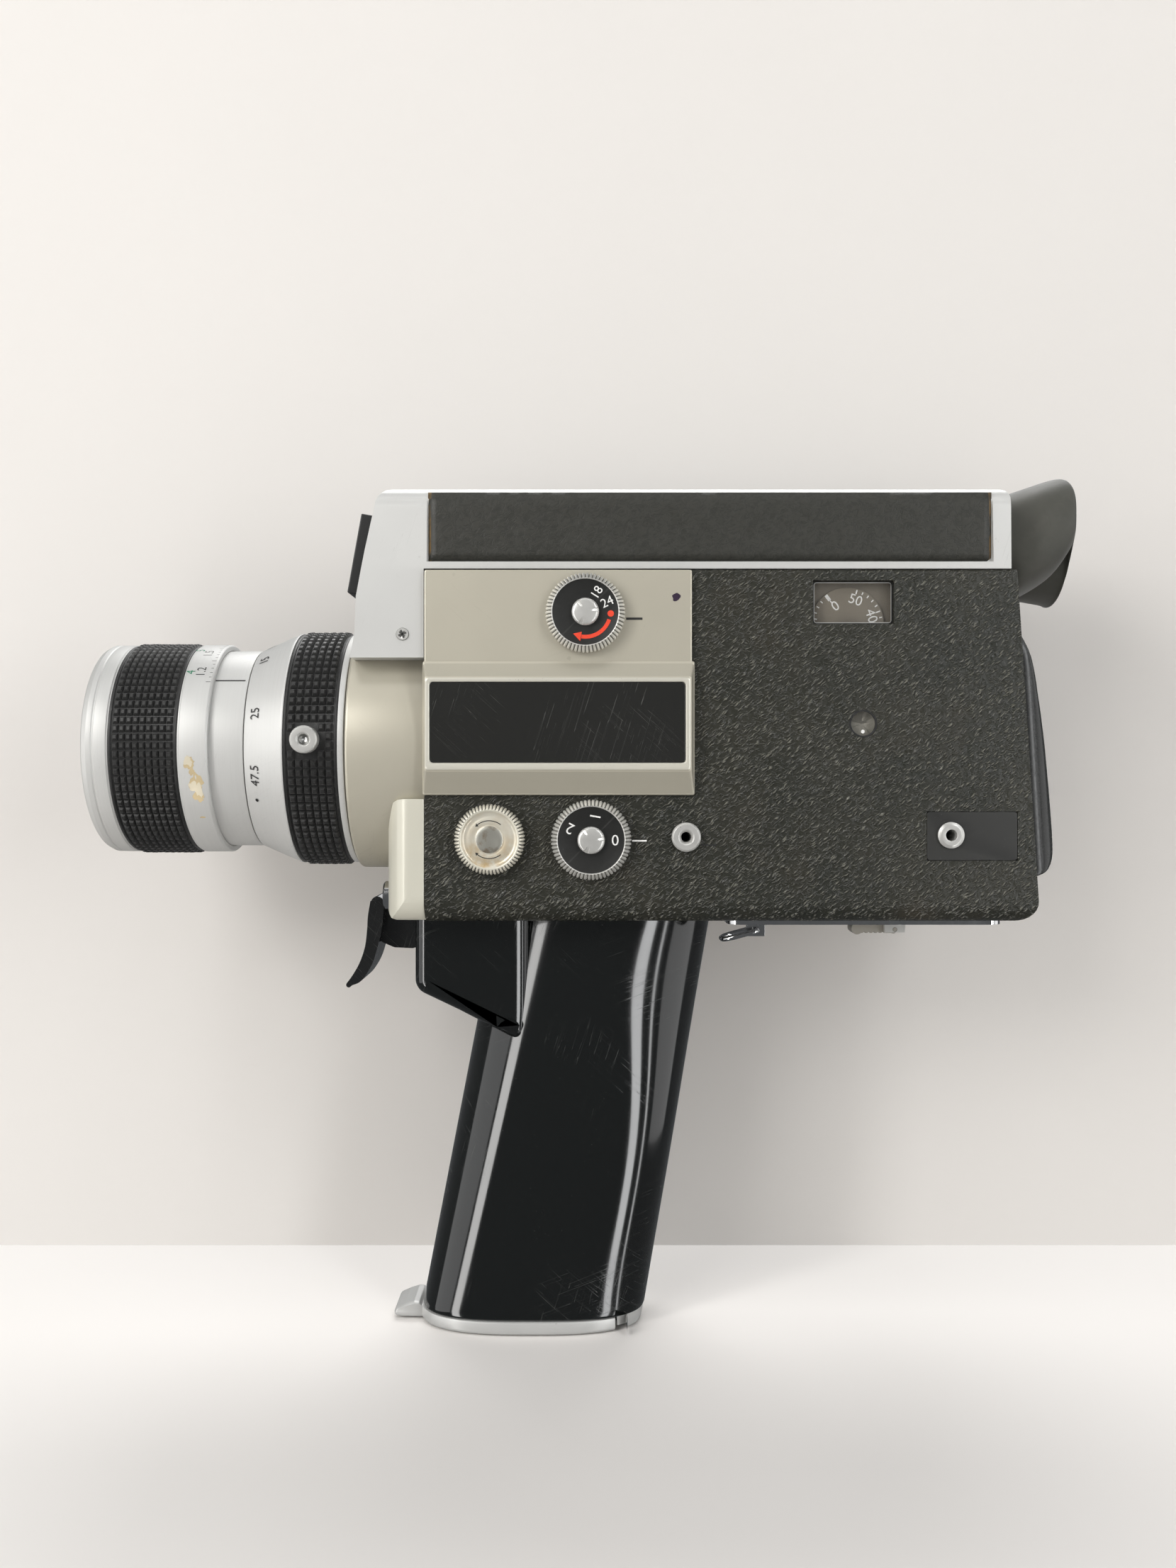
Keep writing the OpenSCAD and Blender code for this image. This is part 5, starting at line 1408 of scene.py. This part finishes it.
# dark frames behind the two windows
g = Geo()
for a, b, c, d in ((64.05, 82.55, 166.2, 176.3),):
    o, i_ = rrect(a - 0.0, c - 0.0, b + 0.0, d + 0.0, 0.9, 5), rrect(a + 0.42, c + 0.42, b - 0.42, d - 0.42, 0.6, 5)
    m_ = len(o)
    vs = [(x, -27.62, z) for x, z in o] + [(x, -27.66, z) for x, z in i_] + [(x, -26.95, z) for x, z in i_]
    fs = [(q, (q + 1) % m_, m_ + (q + 1) % m_, m_ + q) for q in range(m_)] + [(m_ + q, m_ + (q + 1) % m_, 2 * m_ + (q + 1) % m_, 2 * m_ + q) for q in range(m_)]
    g.add(vs, fs)
g.make("counter_window_frame", M_FACE, "housing", slot="black_plastic")
# painted highlight: a thin pale line round the window, standing in for the light on the glass's chamfered edge
g = Geo()
fr = rrect(64.55, 166.7, 82.05, 175.8, 0.55, 5)
g.add(*on_side(stroke(fr + fr[:2], 0.16), -27.68, 0.01))
g.make("counter_window_highlight_line", M_CAP, "housing")
g = Geo()
g.add(*revolve(rnd([(2.75, 28.95), (3.12, 28.95), (3.12, 28.3), (2.75, 28.3)], 0.06, 2), "Y", (75.5, 0, 143.7), n=64))
g.make("film_window_rim", M_INNER, "housing", slot="black_plastic", sharp=35)
# the pale core of the film path shows through the round window
g = Geo()
g.add(*revolve([(0.001, 26.9), (3.1, 26.9), (3.1, 26.6), (0.001, 26.6)], "Y", (75.5, 0, 143.7), n=48))
g.make("film_window_felt", matte_black("window_felt", (0.155, 0.148, 0.125), 0.6), "housing", slot="black_plastic", sharp=35)
g = Geo()
g.add(*on_side(disc2d(0.42, (75.5, 141.9)), -28.42))
g.make("film_window_dot", M_WHITE, "housing")


# ------------------------------------------------------------------ trigger
def catmull(pts, n=6, closed=True):
    out = []
    m = len(pts)
    for i in range(m if closed else m - 1):
        p0, p1, p2, p3 = (Vector(pts[(i + d) % m if closed else min(max(i + d, 0), m - 1)]) for d in (-1, 0, 1, 2))
        for q in range(n):
            t = q / n
            out.append(tuple(0.5 * ((2 * p1) + (p2 - p0) * t + (2 * p0 - 5 * p1 + 4 * p2 - p3) * t * t + (3 * p1 - p0 - 3 * p2 + p3) * t ** 3)))
    if not closed:
        out.append(tuple(pts[-1]))
    return out


front = catmull([(-39.7, 101.6), (-40.3, 98), (-40.5, 94.7), (-41.0, 90.6), (-42.2, 86.9), (-43.9, 83.8), (-45.5, 81.6)], 6, False)
back = catmull([(-44.3, 81.1), (-42.2, 82.0), (-40.4, 84.2), (-38.9, 87.2), (-37.6, 91.8), (-36.8, 96), (-36.4, 101.0)], 6, False)
outline = front + arc(-44.95, 81.25, 0.62, 150, 330, 8) + back + arc(-38.0, 101.2, 1.55, 5, 165, 8)
vs, fs = extrude(outline, "Y", -7.6, 7.6)
g = Geo()
g.add(vs, fs)
web = [(-37.2, 100.0), (-37.8, 91.2), (-34.5, 89.8), (-30, 89.6), (-26.9, 90.4), (-26.9, 95.5), (-28.6, 100.8), (-29.5, 102.6), (-32.5, 102.6), (-34.5, 100.4)]
g.add(*extrude(rnd(web, 0.8, 4), "Y", -2.9, 2.9))
g.add(*revolve([(0.001, 8.9), (1.0, 8.9), (1.0, -8.9), (0.001, -8.9)], "Y", (-31, 0, 100.8), n=32))
g.make("trigger_v", gloss_black("trigger_gloss", (0.010, 0.0105, 0.0105), 0.2), "trigger", "trigger", "grip_black", bevel=0.55, segs=4, angle=45)

# ------------------------------------------------------------------ rear door
TILT = math.radians(-3.4217)


def rear(x, y, z):
    """Local frame on the slanted rear face to millimetres in the row frame."""
    return (115.2 + x * math.cos(TILT) + z * math.sin(TILT), y, 98.5 - x * math.sin(TILT) + z * math.cos(TILT))


bul = [(-1.2, 9.6), (1.2, 9.4), (6.0, 10.6), (8.6, 13.8), (9.3, 18.5), (9.0, 27), (8.2, 40), (7.0, 51), (5.6, 60.5), (3.0, 66.4), (0.9, 69.9), (-1.2, 70.4)]
sm = catmull([(b, a) for a, b in bul], 12, False)        # (z, x)


def h_z(z):
    best = None
    for (z0, x0), (z1, x1) in zip(sm[:-1], sm[1:]):
        if min(z0, z1) - 1e-9 <= z <= max(z0, z1) + 1e-9 and abs(z1 - z0) > 1e-9:
            x = x0 + (x1 - x0) * (z - z0) / (z1 - z0)
            best = x if best is None else max(best, x)
    return -1.2 if best is None else best


def h_y(y):
    y = abs(y)
    if y <= 13.4:
        return 9.6
    if y >= 19.5:
        return -1.2
    return 3.4 + math.sqrt(max(0, 6.1 ** 2 - (y - 13.4) ** 2))


def smin(a, b, k=1.6):
    h = min(max(0.5 + 0.5 * (b - a) / k, 0), 1)
    return b * (1 - h) + a * h - k * h * (1 - h)


zs = [9.45 + 0.35 * i for i in range(6)] + [11.2 + (66 - 11.2) * i / 50 for i in range(1, 50)] + [66 + 4.35 * i / 8 for i in range(9)]
ys = [-19.5 + 6.1 * (1 - math.cos(math.pi / 2 * i / 12)) for i in range(12)] + [-13.4 + 26.8 * i / 16 for i in range(17)] + [19.5 - 6.1 * (1 - math.cos(math.pi / 2 * (11 - i) / 12)) for i in range(12)]
grid = []
for z in zs:
    row = []
    for y in ys:
        row.append((max(smin(h_z(z), h_y(y)), -1.2), y, z))
    grid.append(row)
vs, fs = [], []
W = len(ys)
for row in grid:
    for x, y, z in row:
        vs.append(rear(x, y, z))
for i in range(len(zs) - 1):
    for j in range(W - 1):
        fs.append((i * W + j, i * W + j + 1, (i + 1) * W + j + 1, (i + 1) * W + j))
o = mesh("rear_door_bulge", vs, fs, M_DOOR, "rear_door", (), "door_black", sharp=70)
so = o.modifiers.new("wall", "SOLIDIFY")
so.thickness = 1.3 * MM
so.offset = -1
# the flat leaf, its hinge knuckle and its pin
g = Geo()


def rbox(x0, x1, y0, y1, z0, z1):
    P = [(x, y, z) for x in (x0, x1) for y in (y0, y1) for z in (z0, z1)]
    return [rear(*p) for p in P], [(0, 1, 3, 2), (4, 6, 7, 5), (0, 4, 5, 1), (2, 3, 7, 6), (0, 2, 6, 4), (1, 5, 7, 3)]


leaf = rrect(-26.1, 2.9, 23.8, 72.9, 1.2, 5)
hole = rrect(-17.8, 10.9, 17.8, 68.2, 4.0, 5)
m_ = len(leaf)
vs = []
for x in (-2.2, -0.2):
    vs += [rear(x, y, z) for y, z in leaf]
for x in (-2.2, -0.2):
    vs += [rear(x, y, z) for y, z in hole]
fs = []
for i in range(m_):
    j = (i + 1) % m_
    fs += [(i, j, m_ + j, m_ + i), (2 * m_ + i, 2 * m_ + j, 3 * m_ + j, 3 * m_ + i), (i, j, 2 * m_ + j, 2 * m_ + i), (m_ + i, m_ + j, 3 * m_ + j, 3 * m_ + i)]
g.add(vs, fs)
g.make("rear_door_leaf", M_DOOR, "rear_door", "rear_door", "door_black", bevel=0.3, segs=3, angle=40)
g = Geo()
g.add(*rbox(-2.2, -0.2, 23.7, 28.6, 17, 59))
g.make("rear_door_wing", M_DOOR, "rear_door", slot="door_black", bevel=0.3, segs=3, angle=40)
g = Geo()
for r_, z0, z1 in ((2.3, 17, 59), (0.9, 8.2, 67.8)):
    n_ = 40
    vs = []
    for z in (z0, z1):
        vs += [rear(-3.2 + r_ * math.cos(2 * math.pi * i / n_), 26.6 + r_ * math.sin(2 * math.pi * i / n_), z) for i in range(n_)]
    fs = [(i, (i + 1) % n_, n_ + (i + 1) % n_, n_ + i) for i in range(n_)] + [tuple(range(n_))[::-1], tuple(range(n_, 2 * n_))]
    g.add(vs, fs, 1 if r_ < 1 else 0)
g.make("rear_door_knuckle", [M_DOOR, M_STEEL], "rear_door", slot="door_black", bevel=0.15, segs=2, angle=40)

# ------------------------------------------------------------------ eyecup
top = catmull([(109.6, 199.0), (113.5, 200.1), (118, 201.5), (122.5, 203.0), (125.6, 203.8), (127.2, 203.2)], 8, False)
low = catmull([(109.6, 179.6), (111.2, 177.4), (112.6, 174.6), (114.2, 173.2), (117.2, 175.0), (121, 177.0), (124.4, 179.5), (126.4, 182.6)], 8, False)


def at(path, x):
    for (x0, z0), (x1, z1) in zip(path[:-1], path[1:]):
        if x0 <= x <= x1:
            return z0 + (z1 - z0) * (x - x0) / max(x1 - x0, 1e-9)
    return path[-1][1] if x > path[-1][0] else path[0][1]


xs = [109.6, 109.75, 110.1, 110.8, 111.6, 112.4, 113.2, 114.2, 115.4, 117, 119, 121, 122.8, 124.2, 125.4, 126.3, 126.9, 127.3]
rings = []
nsec = 96
for i, x in enumerate(xs):
    zt, zb = at(top, x), at(low, min(x, 126.4))
    if x > 126.2:
        f = (x - 126.2) / 1.1
        zt -= 1.1 * f ** 2
        zb += 1.6 * f ** 2
    hw = 21.0
    if x < 110.1:
        hw -= 0.5 * (110.1 - x)
        zt -= 0.5 * (110.1 - x)
        zb += 0.5 * (110.1 - x)
    if x > 126.0:
        hw -= 1.3 * ((x - 126.0) / 1.3) ** 2
    # the wing draws in toward the housing
    hw *= 0.90 + 0.10 * min(1, (x - 109.6) / 9)
    cz, hz = (zt + zb) / 2, (zt - zb) / 2
    ring = []
    for q in range(nsec):
        t = 2 * math.pi * q / nsec
        c_, s_ = math.cos(t), math.sin(t)
        ring.append((x, hw * math.copysign(abs(c_) ** (2 / 2.9), c_), cz + hz * math.copysign(abs(s_) ** (2 / 3.0), s_)))
    rings.append(ring)
# lip turned back into the hollow
for (rr, x) in ((14.9, 127.55), (14.35, 127.3), (14.0, 126.6), (13.6, 124.5), (13.0, 121), (12.2, 117), (11.5, 114.8), (11.35, 112), (11.35, 109.6)):
    zt, zb = 201.6, 181.5
    ring = []
    for q in range(nsec):
        t = 2 * math.pi * q / nsec
        ring.append((x, rr * math.cos(t), 188 + rr * 0.985 * math.sin(t)))
    rings.append(ring)
vs, fs = loft(rings, False, False)
k = nsec
L = len(rings)
for i in range(k):
    j = (i + 1) % k
    fs.append(((L - 1) * k + i, (L - 1) * k + j, j, i))
o = mesh("eyecup_v", vs, fs, M_EYECUP, "housing", "eyecup", "eyecup_rubber", sharp=85)
ss = o.modifiers.new("smooth", "SUBSURF")
ss.levels = 1
ss.render_levels = 1
part("diopter_ring", M_BLACK, "black_plastic", 0.08, 1)

# ------------------------------------------------------------------ strap ring: one bent wire
A = math.radians(-105)


def ring_pt(u, y, v=0.0):
    """u along the legs away from the lug."""
    return (52.6 + math.sin(A) * u + math.cos(A) * v, -16.25 + y, 95.7 + math.cos(A) * u - math.sin(A) * v)


path = [(0.0, -4.1), (0.0, 4.1)]
path = [(0, -1.0), (0, 1.0), (0, 2.9)] + [(0.75 - 0.75 * math.cos(math.radians(a)), 2.9 + 0.75 * math.sin(math.radians(a))) for a in range(15, 91, 15)]
path += [(u, 3.65) for u in (2.0, 4.0, 5.4)] + [(5.4 + 2.8 * math.sin(math.radians(a)), 0.85 + 2.8 * math.cos(math.radians(a))) for a in range(10, 91, 10)]
path += [(8.2, 0.0)]
path += [(u, -y) for u, y in path[-2:0:-1]]
n_ = 16
rings = []
m_ = len(path)
for i, (u, y) in enumerate(path):
    a, b = path[i - 1], path[(i + 1) % m_]
    t = Vector((b[0] - a[0], b[1] - a[1])).normalized()
    nn = Vector((-t.y, t.x))
    ring = []
    for q in range(n_):
        c_, s_ = math.cos(2 * math.pi * q / n_), math.sin(2 * math.pi * q / n_)
        ring.append(ring_pt(u + nn.x * 0.6 * c_, y + nn.y * 0.6 * c_, 0.6 * s_))
    rings.append(ring)
vs, fs = loft(rings, False, False)
L = len(rings)
for i in range(n_):
    j = (i + 1) % n_
    fs.append(((L - 1) * n_ + i, (L - 1) * n_ + j, j, i))
mesh("strap_ring_v", vs, fs, M_CHROME, "strap_ring", "strap_ring", "steel", sharp=70)


# ------------------------------------------------------------------ stage: pale paper behind and below
def paper_mat(name, base, one_side=False):
    m = Mat(name, base, 0.85, 0.0, Specular_IOR_Level=0.2)
    f = m.noise(900, 4, 0.7)
    b = m.noise(6, 3, 0.5)
    c = m.mix(m.ramp(b, [(0.3, 0.0), (0.7, 1.0)]), sc(base, 0.985), sc(base, 1.01))
    m.color(c)
    m.bump(f, 0.00004, 0.3)
    if one_side:
        g = m.t.nodes.new("ShaderNodeNewGeometry")
        lp = m.t.nodes.new("ShaderNodeLightPath")
        tr = m.t.nodes.new("ShaderNodeBsdfTransparent")
        mx = m.t.nodes.new("ShaderNodeMixShader")
        seen = m.math("MULTIPLY", lp.outputs["Is Camera Ray"], m.math("SUBTRACT", 1.0, g.outputs["Backfacing"]))
        m.t.links.new(seen, mx.inputs[0])
        m.t.links.new(tr.outputs[0], mx.inputs[1])
        m.t.links.new(m.p.outputs[0], mx.inputs[2])
        m.t.links.new(mx.outputs[0], m.out.inputs[0])
    return m.m


def quad(name, pts, mat):
    me = bpy.data.meshes.new(name)
    me.from_pydata([tuple(p) for p in pts], [], [(0, 1, 2, 3)])
    o = bpy.data.objects.new(name, me)
    bpy.context.scene.collection.objects.link(o)
    me.materials.append(mat)
    return o


PAPER = (0.69, 0.667, 0.642)
floor_ = quad("floor", [(-3, -3, -0.0003), (3, -3, -0.0003), (3, 3, -0.0003), (-3, 3, -0.0003)], paper_mat("paper_floor", (0.90, 0.868, 0.838)))
# the camera lies on its side in the photo, so nothing pale stands in front of it to be mirrored
floor_.visible_glossy = False
quad("backdrop", [(-1.2, 0.046, -0.0002), (1.2, 0.046, -0.0002), (1.2, 0.046, 1.6), (-1.2, 0.046, 1.6)], paper_mat("paper_wall", PAPER, True))

world = bpy.data.worlds.new("world")
bpy.context.scene.world = world
world.use_nodes = True
bg = world.node_tree.nodes["Background"]
bg.inputs[0].default_value = (0.93, 0.965, 1.0, 1)
bg.inputs[1].default_value = 0.11
# the camera itself sees pale studio walls where the paper ends
pale = world.node_tree.nodes.new("ShaderNodeBackground")
pale.inputs[0].default_value = (0.80, 0.775, 0.75, 1)
pale.inputs[1].default_value = 0.95
wmix = world.node_tree.nodes.new("ShaderNodeMixShader")
wlp = world.node_tree.nodes.new("ShaderNodeLightPath")
wout = world.node_tree.nodes["World Output"]
world.node_tree.links.new(wlp.outputs["Is Camera Ray"], wmix.inputs[0])
world.node_tree.links.new(bg.outputs[0], wmix.inputs[1])
world.node_tree.links.new(pale.outputs[0], wmix.inputs[2])
world.node_tree.links.new(wmix.outputs[0], wout.inputs[0])


def area(name, loc, target, size, power, color=(1, 1, 1), size_y=None):
    l = bpy.data.lights.new(name, "AREA")
    l.energy = power
    l.color = color
    l.shape = "RECTANGLE"
    l.size = size
    l.size_y = size_y or size
    o = bpy.data.objects.new(name, l)
    bpy.context.scene.collection.objects.link(o)
    o.location = loc
    d = Vector(target) - Vector(loc)
    o.rotation_euler = d.to_track_quat("-Z", "Y").to_euler()
    return o


T = (0.01, 0, 0.11)
area("key", (-0.60, -0.85, 0.62), T, 0.6, 4.2, (1, 0.985, 0.96), 0.4)
area("left_strip", (-0.78, -0.74, 0.10), T, 0.19, 8.2, (1, 0.992, 0.975), 1.9)
area("right_strip", (0.66, -0.84, 0.10), T, 0.17, 7.2, (0.985, 0.995, 1.0), 1.9)
area("right_edge", (0.84, -0.64, 0.10), T, 0.05, 1.6, (0.985, 0.995, 1.0), 1.9)
area("right_wide", (1.15, -0.20, 0.15), T, 0.75, 3.0, (1, 1, 1), 1.1)
area("left_wide", (-1.10, -0.35, 0.15), T, 0.75, 3.0, (1, 1, 1), 1.1)
area("top", (0.05, 0.60, 1.05), (0.01, -0.1, 0.0), 0.9, 8.0, (1, 0.995, 0.985), 0.6)
area("front_top", (0.0, -0.42, 1.20), (0.0, -0.15, 0.0), 1.1, 2.6, (1, 0.995, 0.985), 0.5)
area("back", (0.2, 1.1, 0.55), T, 0.9, 2.0, (1, 1, 1), 0.7)

cam = bpy.data.cameras.new("cam")
cam.lens = 30.9
cam.sensor_width = 36
cam.sensor_fit = "AUTO"
cam.clip_start = 0.01
cam.clip_end = 20
co = bpy.data.objects.new("cam", cam)
bpy.context.scene.collection.objects.link(co)
co.location = (0.0131, -0.334, 0.130)
co.rotation_euler = (math.radians(90), 0, 0)
bpy.context.scene.camera = co
bpy.context.scene.view_settings.view_transform = "Standard"

bpy.context.view_layer.update()
